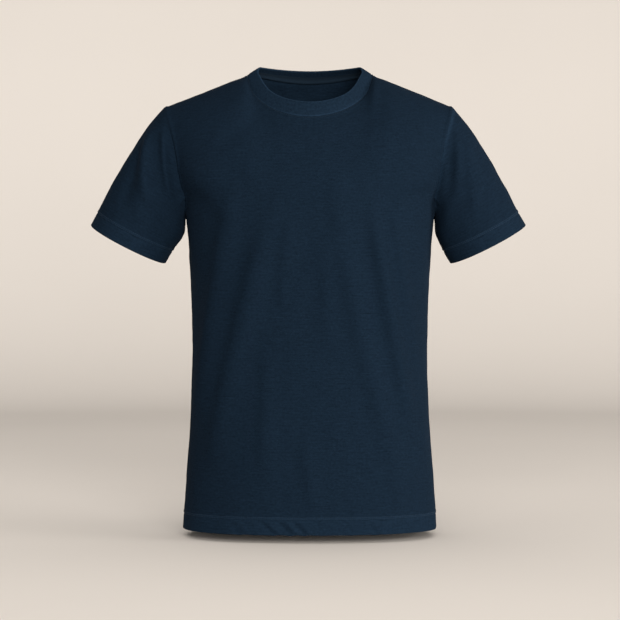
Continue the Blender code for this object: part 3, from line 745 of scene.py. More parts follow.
class Skin:
    """The shirt's outer face: fine grids, and the numbers of their points once joined."""

    def __init__(self):
        self.stretches = {}

    def lay(self, piece, grid, flat, outward):
        self.stretches.setdefault(piece, []).append(Stretch(grid, flat, outward))

    def join(self):
        """Gives the points of all grids one numbering, in which seam points are shared."""
        every = [s for stretches in self.stretches.values() for s in stretches]
        points = np.concatenate([s.grid.reshape(-1, 3) for s in every])
        keys = np.round(points / ROUNDING).astype(np.int64)
        _, first, number = np.unique(keys, axis=0, return_index=True, return_inverse=True)
        number = number.ravel()
        self.points = points[first]
        self.numbers, at = {}, 0
        for piece, stretches in self.stretches.items():
            self.numbers[piece] = []
            for s in stretches:
                size = s.grid.shape[0] * s.grid.shape[1]
                self.numbers[piece].append(number[at : at + size].reshape(s.grid.shape[:2]))
                at += size
        self.set_normals()

    def quads(self, piece, every=1):
        """Four-sided faces of a piece's outer face, over every line or every second one."""
        grids = zip(self.numbers[piece], self.stretches[piece])
        return np.concatenate([face_corners(n[::every, ::every], s.outward) for n, s in grids])

    def corner_places(self, piece, every=1):
        """Places on the flat cloth of the corners that quads gives."""
        stretches = self.stretches[piece]
        return np.concatenate([face_corners(s.flat[::every, ::every], s.outward) for s in stretches])

    def set_normals(self):
        total = np.zeros_like(self.points)
        for piece in self.stretches:
            quads = self.quads(piece)
            a, b, c, d = self.points[quads.T]
            facing = np.cross(c - a, d - b)
            for axis in range(3):
                for corner in quads.T:
                    total[:, axis] += np.bincount(corner, facing[:, axis], len(total))
        self.normals = unit(total)

    def spread(self, piece, values):
        """Values of the piece's grids, one array each, as one value for each point of the skin."""
        out = np.zeros(len(self.points))
        for numbers, value in zip(self.numbers[piece], values):
            out[numbers.ravel()] = np.ravel(value)
        return out

    def up_cloth(self, piece):
        """How far up its own flat cloth each point of the piece lies."""
        return self.spread(piece, [s.flat[..., 1] for s in self.stretches[piece]])

    def held(self, piece):
        """Which points of the skin the piece has."""
        return self.spread(piece, [np.ones(numbers.size) for numbers in self.numbers[piece]]) > 0


def fold_heights(x, z, folds):
    """How far the folds lift points of the cloth, by where the points show from the front."""
    lift = np.zeros_like(x)
    for fold in folds:
        start, end = np.array([fold.start_x, fold.start_z]), np.array([fold.end_x, fold.end_z])
        length = np.linalg.norm(end - start)
        line = (end - start) / length
        share = ((x - start[0]) * line[0] + (z - start[1]) * line[1]) / length
        aside = -(x - start[0]) * line[1] + (z - start[1]) * line[0]
        aside = aside - fold.bow * 4 * share * (1 - share)
        ends = smooth(share / FOLD_ENDS) * smooth((1 - share) / FOLD_ENDS)
        width = np.where(aside < 0, fold.right_width, fold.left_width)
        lift = lift + fold.height * ends * bell(aside, width)
    return lift


def hem_depth(piece):
    return HEM_DEPTH if "panel" in piece else SLEEVE_HEM_DEPTH


def hem_heights(up, depth):
    """The soft welt between a hem's rows of stitches and the groove under it."""
    below = depth - up
    welt = HEM_WELT * bell(below - HEM_WELT_BELOW_TOP, HEM_WELT_WIDTH)
    return welt - HEM_GROOVE * bell(below - HEM_GROOVE_BELOW_TOP, HEM_GROOVE_WIDTH)


def pucker_heights(x, up, face):
    """Slanting puckers of the body's hem, which end at its stitches."""
    lift = np.zeros_like(x)
    line = HEM_DEPTH - HEM_GROOVE_BELOW_TOP
    along = smooth(up / 0.002) * smooth((line - up) / 0.004)
    for pucker in HEM_PUCKERS:
        if pucker.face == face:
            aside = x - pucker.at - pucker.lean * (0.5 - up / line)
            lift = lift + pucker.height * along * bell(aside, pucker.half_width)
    return lift


def waves(points, length, seed):
    """Gentle random unevenness of about this wave length, between about -1 and 1."""
    random = np.random.default_rng(seed)
    total = np.zeros(len(points))
    for _ in range(WAVE_COUNT):
        way = unit(random.normal(size=3)) * 2 * np.pi / (length * random.uniform(0.7, 1.5))
        total += np.sin(points @ way + random.uniform(0, 2 * np.pi))
    return total * np.sqrt(2 / WAVE_COUNT) / 1.5


def seam_lines(numbers):
    """Every seam as (kind, numbers of its points), in order."""
    found = []
    for name in ("sleeve_left", "sleeve_right"):
        grid = numbers[name][0]
        found += [("armhole", grid[0]), ("underarm", grid[:, 0])]
    lower, upper = numbers["front_panel"]
    found += [("side", lower[:, 0]), ("side", lower[:, -1])]
    shoulders = upper[-1, : NECK_LINES.start + 1], upper[-1, NECK_LINES.stop - 1 :]
    found += [("shoulder", line) for line in shoulders]
    found += [("neck", numbers[name][1][-1, NECK_LINES]) for name in ("front_panel", "back_panel")]
    return found


def nearest(points, line):
    """Distance of each point from a line of points, and how far along it the nearest one is."""
    low, high = line.min(axis=0) - SEAM_REACH, line.max(axis=0) + SEAM_REACH
    near = np.flatnonzero(((points > low) & (points < high)).all(axis=1))
    tree = KDTree(len(line))
    for i, point in enumerate(line):
        tree.insert(point, i)
    tree.balance()
    away, along, length = np.full(len(points), 1.0), np.zeros(len(points)), lengths(line)
    for i in near:
        _, index, distance = tree.find(points[i])
        away[i], along[i] = distance, length[index]
    return away, along


def seam_heights(away, along, seam, on_sleeve, seed):
    """The groove of a seam, the soft swelling beside it and its small puckers."""
    groove = -seam.depth * bell(away, seam.groove)
    puff = np.where(on_sleeve, seam.sleeve_puff, seam.puff)
    puff = puff * bell(away - seam.puff_at, seam.puff_at * PUFF_SPREAD)
    random = np.random.default_rng(seed)
    ripple = np.zeros_like(along)
    for _ in range(RIPPLE_COUNT):
        way = 2 * np.pi / (seam.pucker_length * random.uniform(0.6, 1.7))
        ripple += np.sin(along * way + random.uniform(0, 2 * np.pi)) / 2.2
    reach = smooth(away / RIPPLE_START) * np.exp(-away / seam.pucker_reach)
    return groove + puff + seam.pucker * ripple * reach


def joined_skin(hem_wall):
    """The whole skin, still smooth."""
    skin = Skin()
    fine = panels(hem_wall)
    for face in ("front", "back"):
        lower, upper = fine[face]
        middle = lower.shape[1] // 2
        flat_low = cloth_places(lower, middle)
        flat_up = cloth_places(upper, upper.shape[1] // 2)
        side = sum(SIDE_DIVISIONS)
        flat_up[..., 1] += flat_low[-1, side : side + upper.shape[1], 1]
        skin.lay(face + "_panel", lower, flat_low, face == "back")
        skin.lay(face + "_panel", upper, flat_up, face == "back")
    for side in ("left", "right"):
        grid = sleeve(side, fine)
        flat = cloth_places(grid, grid.shape[1] // 2)
        flat[..., 1] = flat[-1:, :, 1] - flat[..., 1]
        skin.lay("sleeve_" + side, grid, flat, side == "right")
    skin.join()
    return skin


def piece_folds(piece, points):
    """How far a piece's folds lift points of it. A sleeve has its own in front and behind."""
    x, y, z = points.T
    folds = fold_heights(x, z, FOLDS[piece])
    if piece + "_back" in FOLDS:
        folds = np.where(y < 0, folds, fold_heights(x, z, FOLDS[piece + "_back"]))
        folds = folds * smooth(np.abs(y) / SLEEVE_FACE_FADE)
    return folds


@functools.cache
def laid_skin(hem_wall, strength):
    """The whole skin with its folds, hems and seams."""
    skin = joined_skin(hem_wall)
    resting = skin.points
    fade, lift = np.ones(len(resting)), np.zeros(len(resting))
    on_sleeve = skin.held("sleeve_left") | skin.held("sleeve_right")
    for seed, (kind, numbers) in enumerate(seam_lines(skin.numbers)):
        away, along = nearest(resting, resting[numbers])
        lift += seam_heights(away, along, SEAMS[kind], on_sleeve, seed)
        fade *= smooth(away / FOLD_FADE)
    for piece in skin.stretches:
        up, mine = skin.up_cloth(piece), skin.held(piece)
        extra = hem_heights(up, hem_depth(piece))
        if "panel" in piece:
            extra = extra + pucker_heights(resting[:, 0], up, piece.split("_")[0])
        lift += np.where(mine & (fade > 0), piece_folds(piece, resting) * fade * strength, 0)
        lift += np.where(mine, extra, 0) * (1 - on_other_pieces(skin, piece, mine) / 2)
    # A painted highlight along the left sleeve's armhole seam, kept for the material
    away, _ = nearest(resting, resting[skin.numbers["sleeve_left"][0][0]])
    skin.seam_edge = bell(away - PAINTED_HIGHLIGHT_AT, PAINTED_HIGHLIGHT_WIDTH) * skin.held("sleeve_left")
    calm = UNEVEN_AT_SEAM + (1 - UNEVEN_AT_SEAM) * fade
    for one in UNEVENNESS:
        lift += one.height * waves(resting, one.length, one.seed) * calm
    skin.points = settled(resting) + skin.normals * lift[:, None]
    skin.set_normals()
    return skin


def on_other_pieces(skin, piece, mine):
    """1 where a point of the piece is shared with another, so that what both add isn't doubled."""
    shared = np.zeros(len(mine))
    for other, grids in skin.numbers.items():
        if other != piece:
            for numbers in grids:
                shared[numbers.ravel()] = 1
    return shared * mine


# ---- Sewn pieces


def border_loops(quads):
    """Loops of the edges that only one face has, each as its faces turn."""
    ahead = {}
    for face in quads.tolist():
        for a, b in zip(face, face[1:] + face[:1]):
            ahead[a, b] = True
    after = {a: b for a, b in ahead if (b, a) not in ahead}
    loops = []
    while after:
        start = next(iter(after))
        loop = [start]
        while after[loop[-1]] != start:
            loop.append(after.pop(loop[-1]))
        after.pop(loop[-1])
        loops.append(loop)
    return loops


def sewn_piece(name, skin, piece, walls, free, material):
    """A closed thin shell on a piece of the skin. free are the points of its turned-up edges."""
    quads, inner_quads = skin.quads(piece), skin.quads(piece, every=2)
    flats, inner_flats = skin.corner_places(piece), skin.corner_places(piece, every=2)
    outer_ids, inner_ids = np.unique(quads), np.unique(inner_quads)
    outer = {i: k for k, i in enumerate(outer_ids.tolist())}
    inner = {i: k + len(outer) for k, i in enumerate(inner_ids.tolist())}
    inside = skin.points[inner_ids] - skin.normals[inner_ids] * walls[inner_ids, None]
    points = [skin.points[outer_ids], inside]
    faces = [[outer[i] for i in face] for face in quads.tolist()]
    places_on_cloth = flats.reshape(-1, 2).tolist()
    faces += [[inner[i] for i in face[::-1]] for face in inner_quads.tolist()]
    places_on_cloth += inner_flats[:, ::-1].reshape(-1, 2).tolist()
    place_of = dict(zip(quads.ravel().tolist(), flats.reshape(-1, 2).tolist()))
    count = len(outer) + len(inner)
    inward = ways_inward(skin.points, quads)
    chains = {}
    free = set(free)
    for loop in border_loops(quads):
        for i in loop:
            if i in free:
                radius = walls[i] / 2
                centre = skin.points[i] - skin.normals[i] * radius
                way = -inward[i]
                way = unit(way - skin.normals[i] * (way @ skin.normals[i]))
                turns = np.linspace(0, np.pi, EDGE_POINTS + 2)[1:-1, None]
                points.append(centre + radius * (np.cos(turns) * skin.normals[i] + np.sin(turns) * way))
                chains[i] = list(range(count, count + EDGE_POINTS))
                count += EDGE_POINTS
        first = next(k for k, i in enumerate(loop) if i in inner)
        loop = loop[first:] + loop[: first + 1]
        for k in range(0, len(loop) - 1, 2):
            a, m, b = loop[k : k + 3]
            if a in free and m in free and b in free:
                for low, high in ((a, m), (m, b)):
                    one, two = [outer[low], *chains[low]], [outer[high], *chains[high]]
                    for j in range(EDGE_POINTS):
                        faces.append([one[j + 1], two[j + 1], two[j], one[j]])
                        places_on_cloth += [place_of[low], place_of[high], place_of[high], place_of[low]]
                rim = [chains[b][-1], chains[m][-1], chains[a][-1], inner[a], inner[b]]
                ends = [b, m, a, a, b]
            else:
                at_a, at_b = chains.get(a, []), chains.get(b, [])
                rim = [outer[b], outer[m], outer[a], *at_a, inner[a], inner[b], *at_b[::-1]]
                ends = [b, m, a, *[a] * len(at_a), a, b, *[b] * len(at_b)]
            faces.append(rim)
            places_on_cloth += [place_of[i] for i in ends]
    thing = mesh_object(name, np.concatenate(points), faces, places_on_cloth, material)
    # The painted highlight along the left armhole, on the outer points
    seam_edge = np.zeros(count, np.float32)
    seam_edge[: len(outer_ids)] = skin.seam_edge[outer_ids]
    thing.data.attributes.new("seam_edge", "FLOAT", "POINT").data.foreach_set("value", seam_edge)
    return thing


def ways_inward(points, quads):
    """For each point, the way from it to the middles of its faces."""
    total = np.zeros_like(points)
    middle = points[quads].mean(axis=1)
    for corner in quads.T:
        way = unit(middle - points[corner])
        for axis in range(3):
            total[:, axis] += np.bincount(corner, way[:, axis], len(points))
    return unit(total)


def mesh_object(name, points, faces, flat, material):
    """A mesh object. flat gives each face corner its place on the flat cloth."""
    mesh = bpy.data.meshes.new(name)
    mesh.from_pydata(np.asarray(points).tolist(), [], faces)
    if flat is not None:
        layer = mesh.uv_layers.new(name="flat_cloth")
        layer.uv.foreach_set("vector", np.asarray(flat, np.float32).ravel())
    mesh.shade_smooth()
    mesh.set_sharp_from_angle(angle=SHARP_ANGLE)
    mesh.materials.append(material)
    thing = bpy.data.objects.new(name, mesh)
    bpy.context.scene.collection.objects.link(thing)
    return thing


def place(thing, slot, *nodes):
    """Fixes a finished piece to the shirt."""
    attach(thing, "root")
    if nodes:
        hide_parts(*nodes)


def hem_walls(skin, piece, sizes):
    """Wall of each point: double up to the top of the hem."""
    double = 1 - smooth((skin.up_cloth(piece) - hem_depth(piece)) / HEM_STEP)
    return sizes.wall + (sizes.hem_wall - sizes.wall) * double


# ---- Neckband and tape


def neck_turns(count):
    """Places round the neck from +X by the back, evenly spaced along the rib's middle."""
    turn = np.linspace(0, 2 * np.pi, RING_TRACING)
    middle = (ring_point(turn, 0) + ring_point(turn, 1)) / 2
    length = lengths(middle)
    return np.interp(np.linspace(0, length[-1], count + 1)[:-1], length, turn)


def ring_point(turn, share):
    """A point of the rib's outer face. Share 0 is the neck seam, 1 the folded top edge."""
    back = (turn <= np.pi)[:, None]
    seam, top = [
        np.where(back, neck_curve(turn, "back", edge), neck_curve(2 * np.pi - turn, "front", edge))
        for edge in ("seam", "top")
    ]
    return seam + (top - seam) * share


def ring_normals(turn):
    """The rib's way outward at each place round the neck."""
    seam, top = ring_point(turn, 0), ring_point(turn, 1)
    along = np.roll(seam + top, -1, axis=0) - np.roll(seam + top, 1, axis=0)
    return unit(np.cross(along, top - seam))


def neckband(sizes, material):
    """The rib as a closed tube of rows: up its outer face, over its fold and down its inner one."""
    count = RIBS * COLUMNS_PER_RIB
    turn = neck_turns(count)
    outward = ring_normals(turn)
    step = np.arange(count) % COLUMNS_PER_RIB
    rib = sizes.rib_height * (0.5 - 0.5 * np.cos(2 * np.pi * step / COLUMNS_PER_RIB))[:, None]
    seam, top = ring_point(turn, 0), ring_point(turn, 1)
    upward = unit(top - seam)
    half = RIB_FOLDED / 2
    rows = []

    def crowned(share, off, sign):
        crown = RIB_CROWN * 4 * np.clip(share * (1 - share), 0, 1)
        middle = seam + (top - upward * half - seam) * share
        return middle + outward * (off + crown + sign * rib * smooth(share / RIB_RISE_SHARE))

    for share in RIB_OUTER_SHARES:
        rows.append(crowned(share, -RIB_TUCK * bell(share, RIB_TUCK_SHARE), 1))
    edge = top - upward * half - outward * half
    for angle in np.linspace(0, np.pi, RIB_TURN_POINTS + 2)[1:-1]:
        way = outward * np.cos(angle) + upward * np.sin(angle)
        rows.append(edge + way * (half + rib))
    for share in RIB_INNER_SHARES:
        rows.append(crowned(share, -RIB_FOLDED, -1))
    rows = settled(np.array(rows))
    number = np.arange(len(rows) * count).reshape(len(rows), count)
    faces = face_corners(np.pad(number, ((0, 1), (0, 1)), mode="wrap")).tolist()
    round_it = lengths(ring_point(np.append(turn, 2 * np.pi), 0.5))
    up = spans(rows)
    flat = np.stack(np.meshgrid(round_it, [*up, up[-1] + RIB_TURN_LENGTH]), axis=2)
    flat = face_corners(flat).reshape(-1, 2)
    return mesh_object("neck_rib", rows.reshape(-1, 3), faces, flat, material)


def read_columns(points, normals, gone, at):
    """Each column's point and normal where what it has gone, which rises, comes to a value."""
    found = [[], []]
    for column in range(points.shape[1]):
        for line, values in zip(found, (points, normals)):
            line.append([np.interp(at, gone[:, column], values[:, column, axis]) for axis in range(3)])
    return np.array(found[0]), unit(found[1])


def along_neck(skin, piece, distance):
    """The line on a panel this far from its neck seam, and its normals."""
    numbers = skin.numbers[piece][1][::-1, NECK_LINES]
    points = skin.points[numbers]
    steps = np.linalg.norm(np.diff(points, axis=0), axis=2)
    gone = np.concatenate([np.zeros((1, points.shape[1])), np.cumsum(steps, axis=0)])
    return read_columns(points, skin.normals[numbers], gone, distance)


def neck_tape(skin, sizes, material):
    """The tape over the back neck seam, on the inner side of the rib and the panel."""
    below, facing = along_neck(skin, "back_panel", TAPE_BELOW)
    on_panel = below - facing * (sizes.wall + SEAM_GAP)
    turn = places(MIDDLE_DIVISIONS)
    turn = turn[(turn >= SHOULDER_COLUMNS) & (turn <= SHOULDER_COLUMNS + NECK_COLUMNS)]
    turn = (turn - SHOULDER_COLUMNS) / NECK_COLUMNS * np.pi
    whole = np.concatenate([turn, 2 * np.pi - turn[::-1][1:-1]])
    outward = ring_normals(whole)[: len(turn)]
    rib_rows = []
    for share in TAPE_RIB_SHARES:
        crown = RIB_CROWN * 4 * share * (1 - share)
        off = crown - RIB_FOLDED - sizes.rib_height - SEAM_GAP
        rib_rows.append(ring_point(turn, share) + outward * off)
    rows = np.array([on_panel, *settled(np.array(rib_rows))])
    outer = refined(rows, TAPE_DIVISIONS, spans(rows))
    up, along = np.gradient(outer, axis=0), np.gradient(outer, axis=1)
    inner = outer - unit(np.cross(along, up)) * TAPE_WALL
    return slab("neck_tape_strip", outer, inner, material)


def slab(name, outer, inner, material):
    """A closed strip between two faces of the same grid."""
    rows, columns = outer.shape[:2]
    size = rows * columns
    number = np.arange(size).reshape(rows, columns)
    edge = np.concatenate([number[0, :-1], number[:-1, -1], number[-1, :0:-1], number[:0:-1, 0]])
    after = np.roll(edge, -1)
    rim = np.stack([after, edge, edge + size, after + size], axis=1)
    faces = np.concatenate([face_corners(number), face_corners(number, False) + size, rim])
    flat = cloth_places(outer, columns // 2).reshape(-1, 2)[faces.ravel() % size]
    points = np.concatenate([outer.reshape(-1, 3), inner.reshape(-1, 3)])
    return mesh_object(name, points, faces.tolist(), flat, material)


# ---- Stitches


def stitch_template(length, radius, sides=6, rings=5):
    """Points and faces of one stitch, lying along X, with +Z off the cloth."""
    along = np.linspace(-1, 1, rings + 2)[1:-1]
    points, faces = [[-length / 2, 0, -radius * 0.6]], []
    for share in along:
        size = radius * np.sqrt(1 - (0.92 * share) ** 2)
        height = radius * 0.25 * (1 - share * share) * 2 - radius * 0.2
        for turn in np.arange(sides) * 2 * np.pi / sides:
            points.append([share * length / 2, size * np.cos(turn), height + size * np.sin(turn)])
    points.append([length / 2, 0, -radius * 0.6])
    for side in range(sides):
        after = (side + 1) % sides
        faces.append([0, 1 + after, 1 + side])
        for ring in range(rings - 1):
            low, high = 1 + ring * sides, 1 + (ring + 1) * sides
            faces.append([low + side, low + after, high + after, high + side])
        last = 1 + (rings - 1) * sides
        faces.append([last + side, last + after, len(points) - 1])
    return np.array(points), faces


def stitches(name, lines, sizes, material):
    """One row of stitches along each line of (points, normals), as one mesh."""
    thread_length = sizes.stitch_pitch * STITCH_SHARE
    template, template_faces = stitch_template(thread_length, sizes.thread_radius)
    points, faces = [], []
    random = np.random.default_rng(len(name))
    for line, normals in lines:
        length = lengths(line)
        count = int(length[-1] / sizes.stitch_pitch)
        middles = (np.arange(count) + 0.5) * length[-1] / count
        ends = thread_length / 2
        at = [read_line(length, line, middles + off) for off in (0, -ends, ends)]
        facing = unit(read_line(length, normals, middles))
        along = unit(at[2] - at[1])
        side = unit(np.cross(facing, along))
        up = np.cross(along, side)
        wobble = random.normal(0, STITCH_WOBBLE, (count, 1))
        along, side = unit(along + side * wobble), unit(side - along * wobble)
        base = at[0] - up * sizes.thread_radius * THREAD_SUNK
        for k in range(count):
            frame_of = np.stack([along[k], side[k], up[k]])
            first = len(points) * len(template)
            points.append(base[k] + template @ frame_of)
            faces += [[first + i for i in face] for face in template_faces]
    return mesh_object(name, np.concatenate(points), faces, None, material)


def read_line(length, line, at):
    """The values along a line at these distances from its start."""
    return np.stack([np.interp(at, length, line[:, axis]) for axis in range(3)], axis=1)


def along_rows(skin, piece, up):
    """The line that lies this far up the piece's cloth from its free edge."""
    numbers = skin.numbers[piece][0]
    heights = skin.stretches[piece][0].flat[..., 1]
    if heights[0, 0] > heights[-1, 0]:
        numbers, heights = numbers[::-1], heights[::-1]
    return read_columns(skin.points[numbers], skin.normals[numbers], heights, up)


# ---- Materials


class Field:
    """A value or colour in a material. Python's operators on it add Math nodes."""

    def __init__(self, finish, socket):
        self.finish, self.socket = finish, socket

    def maths(self, operation, first, second=0.0):
        return self.finish.node("ShaderNodeMath", {"operation": operation}, {0: first, 1: second})

    def __add__(self, other):
        return self.maths("ADD", self, other)

    __radd__ = __add__

    def __sub__(self, other):
        return self.maths("SUBTRACT", self, other)

    def __rsub__(self, other):
        return self.maths("SUBTRACT", other, self)

    def __mul__(self, other):
        return self.maths("MULTIPLY", self, other)

    __rmul__ = __mul__

    def __truediv__(self, other):
        return self.maths("DIVIDE", self, other)

    def __abs__(self):
        return self.maths("ABSOLUTE", self)

    def sine(self):
        return self.maths("SINE", self)

    def fraction(self):
        return self.maths("FRACT", self)


class Finish:
    """A material on the Principled shader, with one method for every other node."""

    def __init__(self, name, **fixed):
        self.material = bpy.data.materials.new(name)
        self.material.use_nodes = True
        self.tree = self.material.node_tree
        self.shader = self.tree.nodes["Principled BSDF"]
        for socket, value in fixed.items():
            self.shader.inputs[socket.replace("_", " ")].default_value = value

    def node(self, kind, settings, inputs, output=0):
        """A node of this kind, its settings first and then its sockets. Gives one output."""
        made = self.tree.nodes.new(kind)
        for name, value in settings.items():
            setattr(made, name, value)
        for name, value in inputs.items():
            self.connect(made.inputs[name], value)
        return Field(self, made.outputs[output])

    def connect(self, socket, value):
        if isinstance(value, Field):
            self.tree.links.new(value.socket, socket)
        else:
            socket.default_value = value

    def feed(self, name, value):
        self.connect(self.shader.inputs[name], value)

    def flat_cloth(self):
        """Places on the flat cloth, in metres: across the wales, and along them."""
        place_on = self.node("ShaderNodeUVMap", {"uv_map": "flat_cloth"}, {})
        return [self.node("ShaderNodeSeparateXYZ", {}, {0: place_on}, output=axis) for axis in "XY"]

    def noise(self, x, y, detail=2.0, z=0.0):
        """Noise over the flat cloth. Another z gives another noise."""
        place_on = self.node("ShaderNodeCombineXYZ", {}, {"X": x, "Y": y, "Z": z})
        return self.node("ShaderNodeTexNoise", {}, {"Vector": place_on, "Scale": 1.0, "Detail": detail})

    def noise_on_object(self, scale, detail):
        place_on = self.node("ShaderNodeTexCoord", {}, {}, output="Object")
        return self.node("ShaderNodeTexNoise", {}, {"Vector": place_on, "Scale": scale, "Detail": detail})

    def between(self, value, low, high):
        """0 at low and 1 at high, eased."""
        inputs = {"Value": value, "From Min": low, "From Max": high}
        return self.node("ShaderNodeMapRange", {"interpolation_type": "SMOOTHSTEP"}, inputs)

    def band(self, value, start, full, ending, end):
        """1 from full to ending, and 0 before start and past end."""
        return self.between(value, start, full) * (1 - self.between(value, ending, end))

    def scaled(self, colour, by):
        """A colour times a number that varies."""
        inputs = {0: tuple(colour), "Scale": by}
        return self.node("ShaderNodeVectorMath", {"operation": "SCALE"}, inputs)

    def bump(self, height, distance):
        return self.node("ShaderNodeBump", {}, {"Height": height, "Distance": distance})


FULL_TURN = 6.2832
KNIT = {
    "Roughness": 0.95,
    "Sheen_Weight": 0.02,
    "Sheen_Roughness": 0.45,
    "Sheen_Tint": (0.40, 0.62, 1.0, 1),
}
WALE, COURSE, RIB_COURSE = 0.00095, 0.00070, 0.0009
TWILL, TWILL_ZIGZAG = 0.0010, 0.0040


def jersey_finish(name, colour):
    """Fine single knit, its courses running round the shirt, with a faint slub. Painted light on it: a
    lighter hem band, a paler line along the hem's welt and a highlight along the left armhole seam.
    """
    finish = Finish(name, **KNIT, Specular_IOR_Level=0.04)
    u, v = finish.flat_cloth()
    slub = finish.noise(u * 75, v * 430, 3.0)
    speck = finish.noise(u * 270, v * 330, 2.0, 4.0)
    cloud = finish.noise(u * 14, v * 17, 3.0, 9.0)
    thick = finish.between(finish.noise(u * 32, v * 620, 1.0, 17.0), 0.60, 0.72)
    thin = finish.between(finish.noise(u * 40, v * 560, 1.0, 29.0), 0.60, 0.74)
    shade = 0.35 + slub * 0.50 + speck * 0.70 + cloud * 0.10 + thick * 0.16 - thin * 0.18
    # Painted light: the hem band is painted lighter than the rest of the cloth
    hem = (1 - finish.between(v, 0.0225, 0.0265)) * 0.16
    # A painted highlight: a paler line along the hem's welt, between its rows of stitches
    welt = finish.band(v, 0.0208, 0.0224, 0.0246, 0.0262) * 0.22
    # A painted highlight along the left armhole seam, on the side the light comes from
    settings = {"attribute_name": "seam_edge"}
    seam_edge = finish.node("ShaderNodeAttribute", settings, {}, output="Fac") * 0.55
    finish.feed("Base Color", finish.scaled(colour, shade * (1 + hem + welt + seam_edge)))
    across_wale = abs((u / WALE).fraction() - 0.5) * 2
    loops = ((v / COURSE + across_wale * 0.45).fraction() - 0.5) * 2
    stitch = (1 - across_wale * across_wale) * 0.6 + (1 - loops * loops) * 0.4
    height = stitch * 0.5 + slub * 0.7 + speck * 0.35
    finish.feed("Normal", finish.bump(height, 0.00022))
    return finish.material


def rib_finish(name, colour):
    """Close one-by-one rib, with a painted highlight along its seam and its fold and painted shade on its
    inner layer.
    """
    finish = Finish(name, **KNIT, Specular_IOR_Level=0.05)
    u, v = finish.flat_cloth()
    speck = finish.noise(u * 280, v * 330, 2.0, 3.0)
    cloud = finish.noise(u * 40, v * 60, 2.0, 8.0)
    shade = 0.42 + speck * 1.00 + cloud * 0.16
    # A painted highlight along the rib's seam
    seam = (1 - finish.between(v, 0.0022, 0.0034)) * 0.35
    # A painted highlight along the rib's folded top edge
    fold = finish.band(v, 0.0196, 0.0214, 0.0230, 0.0245) * 0.45
    # Painted shade: the rib's inner layer is painted darker
    inside = finish.between(v, 0.0250, 0.0275) * 0.35
    finish.feed("Base Color", finish.scaled(colour, shade * (1 + seam + fold - inside)))
    course = (v / RIB_COURSE * FULL_TURN).sine() * 0.5
    finish.feed("Normal", finish.bump(course + speck, 0.00015))
    return finish.material


def tape_finish(name, colour):
    """Twill tape, its ribs slanting one way and then the other, with painted shade darker towards its top.
    """
    finish = Finish(name, Roughness=0.88, Specular_IOR_Level=0.12)
    u, v = finish.flat_cloth()
    zigzag = abs((v / TWILL_ZIGZAG).fraction() - 0.5)
    twill = ((u / TWILL + zigzag * 4.0) * FULL_TURN).sine()
    speck = finish.noise(u * 900, v * 900, 2.0)
    # Painted shade: the tape is painted darker towards its top edge
    shade = (0.95 + twill * 0.08 + speck * 0.30) * (1 - finish.between(v, 0.0020, 0.0110) * 0.40)
    finish.feed("Base Color", finish.scaled(colour, shade))
    finish.feed("Normal", finish.bump(twill * 0.5 + speck * 0.3, 0.00018))
    return finish.material


def thread_finish(name, colour):
    """Spun polyester thread, twisted."""
    finish = Finish(name, Roughness=0.75, Sheen_Weight=0.06, Specular_IOR_Level=0.25)
    speck = finish.noise_on_object(1800.0, 2.0)
    finish.feed("Base Color", finish.scaled(colour, 0.80 + speck * 0.40))
    finish.feed("Normal", finish.bump(speck, 0.0001))
    return finish.material


def floor_finish(name, colour):
    """Smooth pale backdrop."""
    finish = Finish(name, Roughness=0.85, Specular_IOR_Level=0.2)
    cloud = finish.noise_on_object(1.5, 3.0)
    finish.feed("Base Color", finish.scaled(colour, 0.98 + cloud * 0.04))
    return finish.material


@functools.cache
def finishes():
    """The finish of each slot's cloth, and of the thread."""
    colours = bpy.context.scene.tee_colours
    makers = {"jersey": jersey_finish, "rib": rib_finish, "tape": tape_finish, "thread": thread_finish}
    return {name: make(name, getattr(colours, name)) for name, make in makers.items()}


def shirt_skin():
    sizes = bpy.context.scene.tee_sizes
    return laid_skin(sizes.hem_wall, sizes.folds)


def jersey_piece(piece, free_row):
    """A panel or sleeve, its turned-up edge along one row of its first grid."""
    skin, sizes = shirt_skin(), bpy.context.scene.tee_sizes
    free = skin.numbers[piece][0][free_row].tolist()
    walls = hem_walls(skin, piece, sizes)
    cloth = sewn_piece(piece + "_cloth", skin, piece, walls, free, finishes()["jersey"])
    place(cloth, "jersey", piece)
    return cloth


# ---- Operators


class TEE_OT_panels(bpy.types.Operator):
    """Front and back panels with their turned-up hem"""

    bl_idname = "tee.panels"
    bl_label = "Front and back"

    def execute(self, context):
        for piece in ("front_panel", "back_panel"):
            cloth = jersey_piece(piece, free_row=0)
        return {"FINISHED"}


class TEE_OT_sleeves(bpy.types.Operator):
    """Both short sleeves with their turned-up hems"""

    bl_idname = "tee.sleeves"
    bl_label = "Sleeves"

    def execute(self, context):
        for piece in ("sleeve_left", "sleeve_right"):
            cloth = jersey_piece(piece, free_row=-1)
        return {"FINISHED"}


class TEE_OT_neckband(bpy.types.Operator):
    """Ribbed neckband, folded in two"""

    bl_idname = "tee.neckband"
    bl_label = "Neckband"

    def execute(self, context):
        band = neckband(context.scene.tee_sizes, finishes()["rib"])
        place(band, "rib", "neckband")
        return {"FINISHED"}


class TEE_OT_neck_tape(bpy.types.Operator):
    """Tape over the back neck seam"""

    bl_idname = "tee.neck_tape"
    bl_label = "Neck tape"

    def execute(self, context):
        tape = neck_tape(shirt_skin(), context.scene.tee_sizes, finishes()["tape"])
        place(tape, "tape", "neck_tape")
        return {"FINISHED"}


